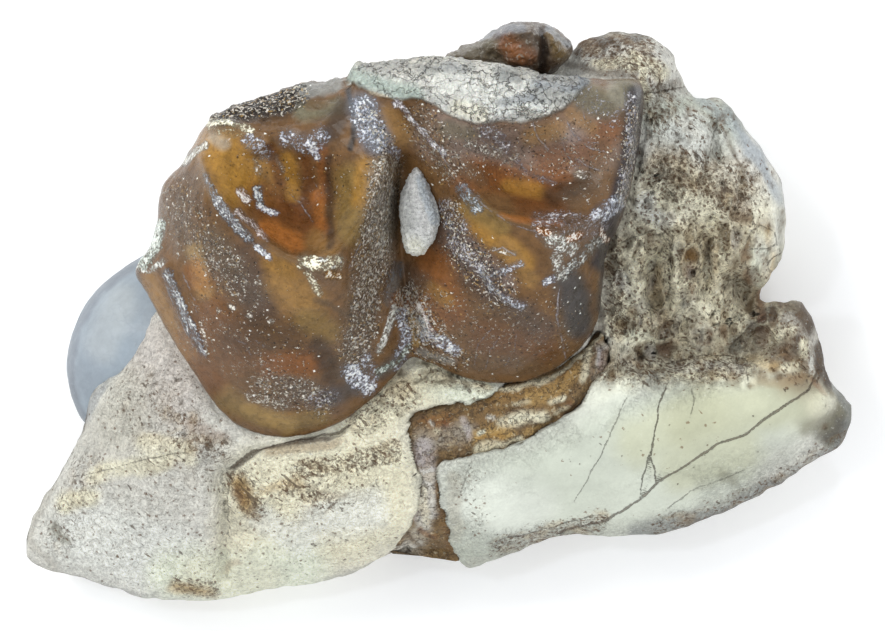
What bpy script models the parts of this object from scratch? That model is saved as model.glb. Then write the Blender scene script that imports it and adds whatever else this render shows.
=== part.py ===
# A broken piece of fossil oreodont jaw, lying on its broken underside with the molar facing up.
# Metres, +Z up, seen from above as in the photograph: +X is the photograph's right, +Y its top.
# Plan positions are written as photograph pixels (x to the right, y down) and heights as
# millimetres above the resting surface; row_point() turns both into metres.

import math

import bmesh
import bpy
import numpy as np

MM = 0.001
OVERALL_LENGTH = 32 * MM  # tip to tip along X, the real size that fixes every other
CLEARANCE = 0.25  # millimetres, between neighbouring pieces

PHOTO_LEFT, PHOTO_RIGHT = 23.0, 854.0  # the object's extent across the photograph, in pixels
PHOTO_CENTRE = (438.5, 312.5)
PIXEL = OVERALL_LENGTH / (PHOTO_RIGHT - PHOTO_LEFT)

# Floors of the sockets, in millimetres above the resting surface.
MOLAR_FLOOR = 6.5
STUB_FLOOR = 6.0
VEIN_FLOOR = 3.6
PLUG_FLOOR = 10.1
ABOVE_ALL = 18.0

EVEN_SPACING = 0.65  # share of an upper surface's rings spaced evenly, the rest crowd the edge
SPLINE_SLACK = 0.01  # how far the height spline may pass beside its spots
HOLLOW_CELLS = [(40, 5, 1.0), (18, 6, 0.5)]  # pixels, seed and strength of the side's hollows
SHARP_ANGLE = math.radians(50)

BONE_CENTRE = (530, 400)
MOLAR_CENTRE = (392, 245)
VEIN_CENTRE = (465, 440)

# Outlines seen from above, in photograph pixels, running left, bottom, right, top.
BONE_OUTLINE = [
    (128, 345), (112, 371), (95, 388), (88, 408), (78, 440), (66, 462), (52, 484), (40, 505),
    (28, 530), (23, 549), (33, 563), (60, 573), (95, 584), (140, 597), (190, 602), (240, 596),
    (300, 586), (352, 575), (390, 556), (420, 551), (446, 553), (468, 569), (490, 564),
    (530, 546), (568, 534), (610, 536), (665, 534), (705, 521), (755, 497), (805, 466),
    (838, 447), (854, 414), (846, 398), (831, 380), (820, 343), (804, 303), (788, 301),
    (775, 302), (764, 302), (762, 292), (772, 274), (785, 247), (784, 205), (777, 171), (749, 134),
    (722, 102), (694, 98), (682, 85), (667, 49), (643, 34), (612, 32), (585, 42), (567, 54),
    (557, 42), (532, 31), (502, 36), (474, 51), (440, 68), (400, 72), (354, 80), (300, 98),
    (240, 120), (216, 134), (192, 170), (174, 196), (168, 240), (156, 280), (142, 312),
]
MOLAR_OUTLINE = [
    (136, 270), (146, 290), (165, 325), (190, 366), (222, 411), (258, 433), (292, 437),
    (333, 426), (368, 401), (396, 374), (411, 358), (428, 362), (452, 373), (488, 382),
    (520, 382), (548, 373), (578, 350), (597, 322), (602, 290), (606, 252), (622, 217),
    (632, 180), (640, 132), (643, 94), (634, 80), (600, 80), (548, 76), (505, 67), (446, 58),
    (400, 61), (356, 67), (344, 79), (300, 86), (258, 100), (222, 112), (206, 126), (184, 163),
    (164, 186), (159, 222), (151, 247),
]
STUB_OUTLINE = [
    (444, 60), (482, 68), (520, 75), (552, 72), (571, 52), (561, 33), (537, 23), (508, 25),
    (478, 41),
]
VEIN_OUTLINE = [
    (409, 421), (413, 448), (420, 474), (419, 494), (410, 520), (403, 540), (388, 556),
    (408, 555), (426, 557), (442, 555), (456, 562), (448, 530), (440, 500), (438, 478),
    (443, 462), (478, 460), (506, 456), (552, 428), (580, 408), (592, 388), (612, 374),
    (596, 352), (574, 362), (546, 384), (505, 386), (480, 400), (440, 408),
]
PLUG_OUTLINE = [
    (400, 205), (402, 234), (408, 253), (422, 255), (435, 238), (439, 214), (430, 190),
    (418, 168), (406, 184),
]
NODULE_OUTLINE = [
    (66, 370), (80, 418), (110, 432), (150, 428), (190, 400), (205, 340), (190, 280),
    (158, 252), (132, 261), (100, 286), (76, 320),
]

# Spot heights, as on a surveyor's map: (x, y, height in millimetres).
BONE_SPOTS = [
    (140, 330, 7.3), (170, 400, 7.9), (100, 402, 6.6), (82, 445, 5.9), (60, 500, 4.9),
    (32, 546, 4.0), (150, 480, 7.1), (200, 530, 6.5), (130, 572, 4.8), (200, 592, 4.4),
    (260, 562, 5.4), (225, 465, 7.5), (300, 505, 7.2), (300, 455, 8.3), (345, 562, 4.9),
    (385, 480, 7.6), (385, 535, 6.0), (250, 442, 8.3), (350, 430, 8.5), (400, 400, 8.6),
    (460, 385, 8.6), (470, 485, 7.6), (475, 545, 5.6), (525, 475, 7.9), (560, 440, 8.4),
    (600, 402, 8.7), (565, 522, 5.4), (640, 485, 7.1), (645, 392, 8.5), (705, 402, 8.3),
    (700, 482, 6.4), (765, 402, 8.1), (765, 465, 5.9), (820, 402, 6.8), (846, 415, 5.4),
    (640, 350, 7.7), (700, 350, 7.1), (750, 345, 6.4), (795, 335, 7.2), (640, 255, 8.4),
    (700, 255, 8.6), (752, 255, 7.9), (778, 230, 6.8), (680, 170, 9.4), (742, 172, 8.2),
    (655, 112, 9.9), (712, 115, 8.3), (635, 60, 9.8), (658, 55, 9.0), (600, 52, 8.8),
    (200, 300, 7.2), (300, 250, 7.4), (420, 250, 7.6), (520, 250, 8.0), (450, 120, 7.6),
    (250, 160, 7.2), (560, 90, 8.4),
]
BONE_RIM = [
    (60, 480, 3.4), (30, 550, 2.6), (190, 600, 2.6), (350, 575, 3.0), (470, 566, 3.2),
    (620, 535, 3.6), (760, 490, 3.8), (852, 415, 4.2), (800, 303, 5.2), (762, 305, 4.6),
    (784, 230, 4.8), (748, 133, 5.6), (694, 98, 6.0), (640, 34, 6.4), (570, 52, 5.2),
    (440, 70, 4.8), (300, 98, 4.8), (175, 195, 4.6), (140, 315, 4.4),
]
MOLAR_SPOTS = [
    (325, 270, 14.1), (300, 262, 14.0), (346, 262, 13.9), (270, 246, 13.7), (240, 217, 13.5),
    (215, 185, 13.3), (203, 160, 13.0), (357, 235, 13.7), (373, 200, 13.4), (386, 166, 13.1),
    (300, 215, 12.0), (262, 190, 12.0), (332, 192, 12.2), (290, 168, 12.1), (250, 152, 12.2),
    (226, 126, 12.9), (262, 133, 12.7), (310, 140, 12.7), (345, 120, 12.8), (180, 215, 12.1),
    (170, 242, 11.5), (200, 262, 12.4), (242, 282, 13.1), (290, 312, 12.9), (330, 320, 12.7),
    (270, 352, 11.6), (320, 360, 11.4), (220, 332, 11.5), (190, 312, 10.9), (240, 382, 10.4),
    (290, 402, 10.0), (332, 396, 10.1), (147, 272, 10.2), (166, 312, 9.9), (156, 254, 10.8),
    (163, 202, 11.3), (186, 172, 12.0), (290, 100, 12.0), (240, 114, 12.1), (332, 90, 12.4),
    (312, 116, 12.4), (362, 330, 11.2), (352, 382, 9.8), (371, 300, 11.3), (384, 260, 11.6),
    (386, 330, 10.2), (376, 370, 9.4), (402, 160, 12.0), (406, 205, 11.1), (410, 262, 10.8),
    (409, 300, 10.3), (411, 342, 9.5), (560, 246, 13.8), (540, 236, 13.6), (586, 236, 13.4),
    (410, 120, 12.9), (440, 152, 13.1), (470, 192, 13.2), (512, 222, 13.5), (612, 205, 13.2),
    (625, 170, 13.1), (633, 120, 13.0), (630, 90, 12.8), (540, 186, 11.8), (500, 180, 11.9),
    (580, 170, 11.9), (560, 140, 12.2), (480, 142, 12.4), (590, 120, 12.5), (520, 132, 12.3),
    (400, 80, 13.2), (360, 76, 13.0), (450, 80, 13.4), (500, 90, 13.4), (480, 112, 12.9),
    (532, 112, 12.8), (562, 95, 12.9), (450, 232, 12.2), (440, 282, 11.6), (480, 262, 12.5),
    (500, 292, 12.2), (450, 322, 10.9), (500, 332, 11.2), (540, 302, 12.3), (560, 322, 11.6),
    (582, 290, 11.9), (500, 362, 10.0), (550, 350, 10.2), (460, 356, 9.8), (592, 312, 10.8),
    (430, 342, 10.0),
]
MOLAR_RIM = [
    (136, 270, 8.6), (190, 366, 8.4), (292, 437, 8.2), (368, 401, 8.4), (411, 358, 8.6),
    (500, 382, 8.5), (597, 322, 8.6), (606, 252, 8.9), (640, 132, 9.6), (634, 80, 10.2),
    (505, 67, 11.2), (400, 61, 11.4), (300, 86, 10.2), (222, 112, 10.2), (164, 186, 9.4),
    (151, 247, 9.0),
]
STUB_SPOTS = [(470, 56, 9.4), (505, 45, 10.4), (530, 40, 10.6), (555, 48, 10.0), (500, 68, 10.2)]
VEIN_SPOTS = [
    (415, 430, 7.4), (460, 425, 7.6), (500, 410, 7.9), (550, 390, 8.1), (595, 366, 8.0),
    (520, 440, 7.7), (425, 480, 6.9), (430, 520, 6.1), (415, 545, 5.4), (450, 545, 5.4),
]
VEIN_RIM = [(388, 556, 4.6), (458, 562, 4.6), (300, 586, 4.4), (854, 414, 4.6), (440, 68, 5.0)]
NODULE_SPOTS = [(80, 350, 4.6), (120, 340, 5.6), (110, 400, 4.6), (150, 350, 5.8), (130, 280, 5.0)]

# Relief of the surfaces: (path in pixels, height in millimetres, half width in pixels).
BONE_RELIEF = [
    ([(75, 476), (110, 462), (150, 452), (200, 444)], 0.5, 15),
    ([(222, 480), (226, 520), (222, 575)], -0.35, 15),
    ([(60, 512), (90, 500)], 0.4, 15),
    ([(655, 262), (650, 300)], -0.8, 15),
    ([(672, 305), (668, 345)], -0.8, 15),
    ([(708, 240), (706, 290)], -0.8, 15),
    ([(735, 285), (748, 300)], -1.0, 16),
    ([(640, 360), (700, 356), (748, 350)], -0.8, 16),
    ([(715, 128), (718, 156)], -0.6, 14),
    ([(680, 190), (672, 230)], 0.4, 16),
    ([(756, 215), (762, 245)], 0.4, 16),
    ([(660, 94), (682, 92)], -0.6, 14),
    ([(800, 320), (796, 350)], 0.5, 15),
    ([(700, 520), (760, 478), (820, 436)], -0.4, 14),
]
MOLAR_RELIEF = [
    ([(204, 160), (240, 216), (285, 252), (326, 268)], 0.3, 15),
    ([(326, 268), (356, 236), (374, 200), (387, 162)], 0.25, 15),
    ([(405, 112), (440, 152), (470, 192), (512, 222), (556, 236)], 0.3, 15),
    ([(556, 236), (612, 206), (628, 168), (637, 98)], 0.3, 15),
    ([(404, 165), (404, 250), (406, 300), (410, 345)], -0.5, 13),
    ([(445, 235), (482, 270), (520, 305)], 0.2, 16),
    ([(172, 270), (188, 308), (202, 345)], 0.2, 14),
    ([(374, 345), (392, 312)], 0.3, 14),
]


def closed_curve(points, count):
    """count points, evenly spaced, on the closed Catmull-Rom spline through the given ones."""
    knots = np.array(points, float)
    before, here, after, beyond = (np.roll(knots, shift, axis=0) for shift in (1, 0, -1, -2))
    share = np.linspace(0, 1, 24, endpoint=False)[None, :, None]
    fine = 0.5 * (
        2 * here[:, None]
        + (after - before)[:, None] * share
        + (2 * before - 5 * here + 4 * after - beyond)[:, None] * share**2
        + (3 * here - before - 3 * after + beyond)[:, None] * share**3
    ).reshape(-1, 2)
    looped = np.vstack([fine, fine[:1]])
    length = np.append(0, np.cumsum(np.linalg.norm(np.diff(looped, axis=0), axis=1)))
    wanted = np.linspace(0, length[-1], count, endpoint=False)
    return np.column_stack([np.interp(wanted, length, looped[:, axis]) for axis in (0, 1)])


def grown(outline, distance):
    """The outline moved outwards by a distance in pixels."""
    along = np.roll(outline, -1, axis=0) - np.roll(outline, 1, axis=0)
    along /= np.linalg.norm(along, axis=1)[:, None]
    return outline + distance * np.column_stack([-along[:, 1], along[:, 0]])


def spot_surface(spots):
    """A smooth height function through the spots: the thin-plate spline r^2 log r."""
    spots = np.array(spots, float)
    unit = 100.0  # pixels, keeps the equations well scaled
    places, heights = spots[:, :2] / unit, spots[:, 2]

    def kernel(distance):
        return distance**2 * np.log(distance + 1e-9)

    apart = np.linalg.norm(places[:, None] - places[None], axis=2)
    plane = np.column_stack([np.ones(len(places)), places])
    system = np.block([[kernel(apart) + SPLINE_SLACK * np.eye(len(places)), plane],
                       [plane.T, np.zeros((3, 3))]])
    weights = np.linalg.solve(system, np.append(heights, np.zeros(3)))

    def height(x, y):
        here = np.column_stack([x, y]) / unit
        away = np.linalg.norm(here[:, None] - places[None], axis=2)
        return kernel(away) @ weights[:-3] + weights[-3] + here @ weights[-2:]

    return height


def distance_to_path(x, y, path):
    """Distance in pixels from each point to a line through the path's points."""
    nearest = np.full(len(x), np.inf)
    for (x0, y0), (x1, y1) in zip(path, path[1:]):
        dx, dy = x1 - x0, y1 - y0
        share = np.clip(((x - x0) * dx + (y - y0) * dy) / (dx * dx + dy * dy), 0, 1)
        nearest = np.minimum(nearest, np.hypot(x - x0 - share * dx, y - y0 - share * dy))
    return nearest


def relief(x, y, features):
    """Ridges and grooves: each path adds its height, fading as a bell curve to the sides."""
    total = np.zeros(len(x))
    for path, height, half_width in features:
        total += height * np.exp(-((distance_to_path(x, y, path) / half_width) ** 2))
    return total


def roughness(x, y, z, cell, seed):
    """Smooth value noise from -1 to 1: random values on a 3D lattice, blended between them."""
    size = 32
    lattice = np.random.default_rng(seed).uniform(-1, 1, (size, size, size))
    place = np.column_stack([x, y, z]) / cell + size
    corner = np.floor(place).astype(int)
    share = place - corner
    share = share * share * (3 - 2 * share)
    total = np.zeros(len(place))
    for offset in np.ndindex(2, 2, 2):
        index = (corner + offset) % size
        weight = np.where(np.array(offset) == 1, share, 1 - share).prod(axis=1)
        total += weight * lattice[index[:, 0], index[:, 1], index[:, 2]]
    return total


def row_point(x, y, z):
    """Photograph pixels and a height in millimetres, as metres."""
    return np.column_stack(
        [(x - PHOTO_CENTRE[0]) * PIXEL, (PHOTO_CENTRE[1] - y) * PIXEL, z * MM]
    )


def material(name, colour, roughness_value):
    made = bpy.data.materials.new(name)
    made.use_nodes = True
    shader = made.node_tree.nodes["Principled BSDF"]
    shader.inputs["Base Color"].default_value = (*colour, 1)
    shader.inputs["Roughness"].default_value = roughness_value
    shader.inputs["Metallic"].default_value = 0
    return made


def finished(name, mesh, collection, look):
    """A named object, in its collection, with its material and smooth shading."""
    made = bpy.data.objects.new(name, mesh)
    collection.objects.link(made)
    if look:
        mesh.materials.append(look)
        mesh.shade_smooth()
        mesh.set_sharp_from_angle(angle=SHARP_ANGLE)
    return made


def moulded(name, outline, centre, top, rim, floor, look, collection, segments=64,
            rings=(14, 6, 3), floor_share=0.85, edge=8, bulge=2.6, lumps=0.0):
    """A closed lump with an outline seen from above, pressed out of a UV sphere.

    Its rings become, from the top pole down: the upper surface, which follows top(x, y) and
    rolls over to rim(x, y) at the outline; the side, which curves in to floor_share of the
    outline; and the flat floor. edge is how sharply the upper surface rolls over, bulge the
    power of the side's superellipse, and lumps the size of the side's hollows in pixels.
    """
    top_rings, side_rings, floor_rings = rings
    ring_count = sum(rings)
    form = bmesh.new()
    bmesh.ops.create_uvsphere(form, u_segments=segments, v_segments=ring_count, radius=1)
    mesh = bpy.data.meshes.new(name)
    form.to_mesh(mesh)
    form.free()
    ball = np.empty(len(mesh.vertices) * 3)
    mesh.vertices.foreach_get("co", ball)
    ball = ball.reshape(-1, 3)

    curve = closed_curve(outline, segments)
    turn = np.arctan2(ball[:, 1], ball[:, 0]) % (2 * math.pi)
    column = np.round(turn / (2 * math.pi) * segments).astype(int) % segments
    ring = np.round(np.arccos(np.clip(ball[:, 2], -1, 1)) / math.pi * ring_count)
    is_top = ring <= top_rings
    on_top = np.clip(ring / top_rings, 0, 1)
    on_side = np.sin(np.clip((ring - top_rings) / side_rings, 0, 1) * math.pi / 2)
    on_floor = np.clip((ring - top_rings - side_rings) / floor_rings, 0, 1)

    share = EVEN_SPACING * on_top + (1 - EVEN_SPACING) * np.sin(on_top * math.pi / 2)
    inward = floor_share + (1 - floor_share) * (1 - on_side**2) ** (1 / bulge)
    reach = np.where(is_top, share, inward * (1 - on_floor))
    rim_point = curve[column]
    rim_height = rim(*rim_point.T)
    side_height = floor + (rim_height - floor) * (1 - on_side**bulge)
    if lumps:
        level_pixels = side_height * MM / PIXEL
        hollow = sum(strength * roughness(*rim_point.T, level_pixels, cell, seed)
                     for cell, seed, strength in HOLLOW_CELLS)
        size = np.linalg.norm(rim_point - centre, axis=1)
        reach -= np.where(is_top, 0, lumps * (1 + hollow) / size * on_side * reach)
    x, y = (np.array(centre) + reach[:, None] * (rim_point - centre)).T
    rolled = np.sqrt(np.clip(1 - share**edge, 0, 1))
    height = np.where(is_top, rim_height + (top(x, y) - rim_height) * rolled, side_height)
    mesh.vertices.foreach_set("co", row_point(x, y, height).ravel())
    mesh.update()
    return finished(name, mesh, collection, look)


def prism(name, outline, low, high, collection, segments=96,
          growth=CLEARANCE):
    """A cutter: the outline grown by the clearance, upright from one height to another."""
    form = bmesh.new()
    bmesh.ops.create_circle(form, cap_ends=True, segments=segments, radius=1)
    form.verts.ensure_lookup_table()
    turn = np.array([math.atan2(corner.co.y, corner.co.x) for corner in form.verts])
    column = np.round(turn % (2 * math.pi) / (2 * math.pi) * segments).astype(int) % segments
    curve = grown(closed_curve(outline, segments), growth * MM / PIXEL)[column]
    for corner, place in zip(form.verts, row_point(*curve.T, np.full(segments, low))):
        corner.co = place
    raised = bmesh.ops.extrude_face_region(form, geom=form.faces[:])
    lifted = [item for item in raised["geom"] if isinstance(item, bmesh.types.BMVert)]
    bmesh.ops.translate(form, verts=lifted, vec=(0, 0, (high - low) * MM))
    bmesh.ops.recalc_face_normals(form, faces=form.faces[:])
    mesh = bpy.data.meshes.new(name)
    form.to_mesh(mesh)
    form.free()
    cutter = finished(name, mesh, collection, None)
    cutter.hide_render = True
    cutter.display_type = "WIRE"
    return cutter


def cut(piece, *cutters, operation="DIFFERENCE"):
    """Takes each cutter out of the piece with an exact Boolean."""
    for cutter in cutters:
        boolean = piece.modifiers.new("cut_" + cutter.name, "BOOLEAN")
        boolean.operation = operation
        boolean.object = cutter


def clear_scene():
    for leftover in list(bpy.data.objects):
        bpy.data.objects.remove(leftover)


def new_collection(name):
    made = bpy.data.collections.new(name)
    bpy.context.scene.collection.children.link(made)
    return made


def surface(spots, features=()):
    """The upper surface: the spot heights' spline with its ridges and grooves."""
    spline = spot_surface(spots)
    return lambda x, y: spline(x, y) + relief(x, y, features)


def level(height):
    return lambda x, y: np.full(len(x), float(height))


def make_bone(collection, cutters):
    """The jaw bone, with a socket for each piece that sits in it."""
    look = material("bone_cream", (0.72, 0.68, 0.55), 0.75)
    bone = moulded("jaw_bone", BONE_OUTLINE, BONE_CENTRE, surface(BONE_SPOTS, BONE_RELIEF),
                   surface(BONE_RIM), 0, look, collection, segments=106, rings=(14, 6, 1),
                   floor_share=0.88, edge=8, bulge=2.3, lumps=12)
    cut(bone, cutters["molar"], cutters["stub"], cutters["vein"])


def make_molar(collection, cutters):
    """The molar's crown, two crescent cusps with the valley between them, and its base."""
    look = material("enamel_brown", (0.25, 0.12, 0.04), 0.25)
    molar = moulded("molar", MOLAR_OUTLINE, MOLAR_CENTRE, surface(MOLAR_SPOTS, MOLAR_RELIEF),
                    surface(MOLAR_RIM), MOLAR_FLOOR + CLEARANCE, look, collection,
                    segments=88, rings=(18, 3, 1), floor_share=0.95, edge=10, bulge=3)
    cut(molar, cutters["plug"])


def make_stub(collection, cutters):
    """The broken end of a second tooth, behind the molar."""
    look = material("stub_brown", (0.16, 0.11, 0.06), 0.35)
    stub = moulded("tooth_stub", STUB_OUTLINE, (510, 50), surface(STUB_SPOTS), level(7.6),
                   STUB_FLOOR + CLEARANCE, look, collection, segments=32, rings=(6, 2, 1),
                   floor_share=0.9, edge=4)
    cut(stub, cutters["molar"])


def make_vein(collection, cutters):
    """Hard brown sediment in the break across the bone: a slab kept only inside the break."""
    look = material("vein_brown", (0.2, 0.12, 0.07), 0.7)
    vein = moulded("sediment_vein", BONE_OUTLINE, VEIN_CENTRE, surface(VEIN_SPOTS),
                   surface(VEIN_RIM), 0, look, collection, segments=104, rings=(14, 3, 1),
                   floor_share=0.95, edge=12)
    cut(vein, cutters["vein_body"], operation="INTERSECT")
    cut(vein, cutters["molar"])


def make_plug(collection):
    """The oval pebble of pale sediment that is lodged in the valley between the cusps."""
    look = material("plug_grey", (0.5, 0.47, 0.45), 0.8)
    moulded("valley_pebble", PLUG_OUTLINE, (419, 213), level(12.7), level(11.6),
            PLUG_FLOOR + CLEARANCE, look, collection, segments=24, rings=(5, 2, 1),
            floor_share=0.85, edge=3)


def make_nodule(collection, cutters):
    """The smooth blue-grey nodule against the bone's left side."""
    look = material("nodule_blue_grey", (0.35, 0.42, 0.5), 0.45)
    nodule = moulded("blue_nodule", NODULE_OUTLINE, (135, 345), surface(NODULE_SPOTS),
                     level(2.6), 0, look, collection, segments=48, rings=(9, 5, 1),
                     floor_share=0.6, edge=3)
    cut(nodule, cutters["bone"])


def main():
    clear_scene()
    parts = new_collection("oreodont_jaw")
    tools = new_collection("cutters")
    cutters = {
        "bone": prism("cutter_bone", BONE_OUTLINE, -1, ABOVE_ALL, tools, segments=160),
        "molar": prism("cutter_molar", MOLAR_OUTLINE, MOLAR_FLOOR, ABOVE_ALL, tools),
        "stub": prism("cutter_stub", STUB_OUTLINE, STUB_FLOOR, ABOVE_ALL, tools, segments=40),
        "vein": prism("cutter_vein", VEIN_OUTLINE, VEIN_FLOOR, ABOVE_ALL, tools, segments=80),
        "vein_body": prism("vein_body", VEIN_OUTLINE, VEIN_FLOOR + CLEARANCE, ABOVE_ALL, tools,
                           segments=80, growth=0),
        "plug": prism("cutter_plug", PLUG_OUTLINE, PLUG_FLOOR, ABOVE_ALL, tools, segments=24),
    }
    make_bone(parts, cutters)
    make_molar(parts, cutters)
    make_stub(parts, cutters)
    make_vein(parts, cutters)
    make_plug(parts)
    make_nodule(parts, cutters)


main()
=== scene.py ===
# %% [markdown]
# # A fossil oreodont jaw
# The object is a broken piece of jaw bone, 32 mm long, with one brown molar standing in it. It
# lies on its broken underside, and the camera looks straight down on the chewing surface.
# Every piece here is a lump with an outline and an upper surface of its own. A sculpting brush
# or a dense noise displacement could make such lumps, but a height map drawn as a surveyor
# would draw one keeps each cusp, ledge and pit where it belongs.

# %% Load the imported solids
import math

import bpy
import numpy as np
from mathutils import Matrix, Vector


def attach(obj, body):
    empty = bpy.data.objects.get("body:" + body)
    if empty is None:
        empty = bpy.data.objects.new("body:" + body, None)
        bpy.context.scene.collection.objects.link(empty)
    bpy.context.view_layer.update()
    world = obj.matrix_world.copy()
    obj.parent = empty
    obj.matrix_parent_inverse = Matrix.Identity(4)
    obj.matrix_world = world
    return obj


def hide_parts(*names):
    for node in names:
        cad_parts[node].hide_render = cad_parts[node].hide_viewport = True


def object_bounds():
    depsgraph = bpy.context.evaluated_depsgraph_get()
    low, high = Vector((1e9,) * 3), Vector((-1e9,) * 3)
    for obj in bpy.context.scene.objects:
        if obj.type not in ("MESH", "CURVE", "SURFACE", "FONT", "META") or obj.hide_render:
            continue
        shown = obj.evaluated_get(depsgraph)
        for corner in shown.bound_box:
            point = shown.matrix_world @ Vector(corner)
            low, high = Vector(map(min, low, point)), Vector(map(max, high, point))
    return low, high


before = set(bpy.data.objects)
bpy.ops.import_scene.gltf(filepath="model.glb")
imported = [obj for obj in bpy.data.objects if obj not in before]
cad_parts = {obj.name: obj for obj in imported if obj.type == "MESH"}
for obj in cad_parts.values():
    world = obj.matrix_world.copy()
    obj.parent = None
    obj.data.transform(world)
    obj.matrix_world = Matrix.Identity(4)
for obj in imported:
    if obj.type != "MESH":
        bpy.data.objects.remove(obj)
solid_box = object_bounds()
BOX_LOW, BOX_HIGH = (np.array(corner) for corner in solid_box)
print("solids:", sorted(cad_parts))

# %% [markdown]
# ## Plan and scale
# All plan positions are written as pixels of the picture's frame, x to the right and y down, and
# heights as millimetres above the resting surface. One pixel is 0.0385 mm on the object.

# %% Plan to metres
MM = 0.001
OVERALL_LENGTH = 32 * MM
LEFT_END, RIGHT_END = 23.0, 854.0
PLAN_CENTRE = (438.5, 312.5)
PIXEL = OVERALL_LENGTH / (RIGHT_END - LEFT_END)
PICTURE_WIDTH, PICTURE_HEIGHT = 885, 631


def row_point(x, y, z):
    """Plan pixels and a height in millimetres, as metres."""
    return np.stack([(x - PLAN_CENTRE[0]) * PIXEL, (PLAN_CENTRE[1] - y) * PIXEL, z * MM], axis=-1)


print("one pixel is", round(PIXEL / MM, 4), "mm")

# %% [markdown]
# ## Camera, floor and light
# The camera hangs straight above, with a long lens, so that tall cusps and low edges keep their
# places. The light is a pale studio: an even sky, one large soft lamp from the upper left that
# models the relief, and two small bluish ones for the glints on wet-looking enamel.

# %% Camera
LENS, SENSOR = 1000.0, 36.0
FOCUS_HEIGHT = 6.0  # millimetres, the level at which plan pixels are picture pixels
lens_data = bpy.data.cameras.new("overhead_camera")
lens_data.lens = LENS
lens_data.sensor_width = SENSOR
camera = bpy.data.objects.new("overhead_camera", lens_data)
bpy.context.collection.objects.link(camera)
camera.location = row_point(PICTURE_WIDTH / 2, PICTURE_HEIGHT / 2, FOCUS_HEIGHT)
camera.location.z += PICTURE_WIDTH * PIXEL * LENS / SENSOR
bpy.context.scene.camera = camera
print("camera height", round(camera.location.z, 3), "m")

# %% Lamps, sky and floor
SKY_STRENGTH = 0.92
LAMPS = [  # name, place in millimetres, width in millimetres, watts, colour
    ("window_lamp", (-95, 85, 150), 70, 0.15, (1.0, 0.99, 0.96)),
    ("fill_lamp", (110, -60, 140), 90, 0.04, (0.95, 0.97, 1.0)),
    ("glint_lamp_left", (-60, 20, 190), 12, 0.03, (0.8, 0.88, 1.0)),
    ("glint_lamp_top", (30, 90, 160), 10, 0.02, (0.8, 0.88, 1.0)),
]
FLOOR_HALF = 1.5  # metres

scene = bpy.context.scene
scene.view_settings.view_transform = "Standard"
sky = bpy.data.worlds.new("studio_sky")
sky.use_nodes = True
sky.node_tree.nodes["Background"].inputs["Color"].default_value = (0.97, 0.985, 1.0, 1)
sky.node_tree.nodes["Background"].inputs["Strength"].default_value = SKY_STRENGTH
scene.world = sky


def add_lamp(name, place, width, watts, colour):
    """A square lamp that faces the object."""
    data = bpy.data.lights.new(name, "AREA")
    data.size = width * MM
    data.energy = watts
    data.color = colour
    lamp = bpy.data.objects.new(name, data)
    lamp.location = [value * MM for value in place]
    lamp.rotation_euler = (-lamp.location).to_track_quat("-Z", "Y").to_euler()
    lamp.visible_camera = False
    bpy.context.collection.objects.link(lamp)


for lamp_values in LAMPS:
    add_lamp(*lamp_values)

floor_mesh = bpy.data.meshes.new("studio_floor")
floor_mesh.from_pydata(
    [(-FLOOR_HALF, -FLOOR_HALF, 0), (FLOOR_HALF, -FLOOR_HALF, 0),
     (FLOOR_HALF, FLOOR_HALF, 0), (-FLOOR_HALF, FLOOR_HALF, 0)], [], [(0, 1, 2, 3)])
floor = bpy.data.objects.new("studio_floor", floor_mesh)
bpy.context.collection.objects.link(floor)
floor_paint = bpy.data.materials.new("floor_paint")
floor_paint.use_nodes = True
floor_paint.node_tree.nodes["Principled BSDF"].inputs["Base Color"].default_value = (
    0.95, 0.95, 0.95, 1)
floor_paint.node_tree.nodes["Principled BSDF"].inputs["Roughness"].default_value = 0.9
floor_paint.node_tree.nodes["Principled BSDF"].inputs["Emission Color"].default_value = (1, 1, 1, 1)
floor_paint.node_tree.nodes["Principled BSDF"].inputs["Emission Strength"].default_value = 0.12
floor_mesh.materials.append(floor_paint)
print("lamps:", len(LAMPS))

# %% [markdown]
# ## Drawing tools
# A closed Catmull-Rom curve turns a few outline points into a smooth edge. A thin-plate spline
# turns spot heights into a surface, as a bent sheet of metal would pass through pins. Strokes
# add ridges and grooves, and the same strokes, filled with colour, paint the stains.

# %% Curves, splines, strokes and noise
def closed_curve(points, count):
    """count points evenly along the closed Catmull-Rom spline through the given ones."""
    knots = np.array(points, float)
    before, here, after, beyond = (np.roll(knots, shift, axis=0) for shift in (1, 0, -1, -2))
    share = np.linspace(0, 1, 24, endpoint=False)[None, :, None]
    fine = 0.5 * (
        2 * here[:, None]
        + (after - before)[:, None] * share
        + (2 * before - 5 * here + 4 * after - beyond)[:, None] * share**2
        + (3 * here - before - 3 * after + beyond)[:, None] * share**3
    ).reshape(-1, 2)
    looped = np.vstack([fine, fine[:1]])
    length = np.append(0, np.cumsum(np.linalg.norm(np.diff(looped, axis=0), axis=1)))
    wanted = np.linspace(0, length[-1], count, endpoint=False)
    return np.column_stack([np.interp(wanted, length, looped[:, axis]) for axis in (0, 1)])


def spot_surface(spots):
    """Heights from spots: the thin-plate spline, a sum of r^2 log r about each, plus a plane."""
    spots = np.array(spots, float)
    unit = 100.0  # pixels, keeps the equations well scaled
    places, heights = spots[:, :2] / unit, spots[:, 2]

    def kernel(distance):
        return distance**2 * np.log(distance + 1e-9)

    apart = np.linalg.norm(places[:, None] - places[None], axis=2)
    plane = np.column_stack([np.ones(len(places)), places])
    system = np.block([[kernel(apart) + 0.01 * np.eye(len(places)), plane],
                       [plane.T, np.zeros((3, 3))]])
    weights = np.linalg.solve(system, np.append(heights, np.zeros(3)))

    def height(x, y):
        total = weights[-3] + x / unit * weights[-2] + y / unit * weights[-1]
        for (spot_x, spot_y), weight in zip(places, weights):
            total = total + weight * kernel(np.hypot(x / unit - spot_x, y / unit - spot_y))
        return total

    return height


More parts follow.
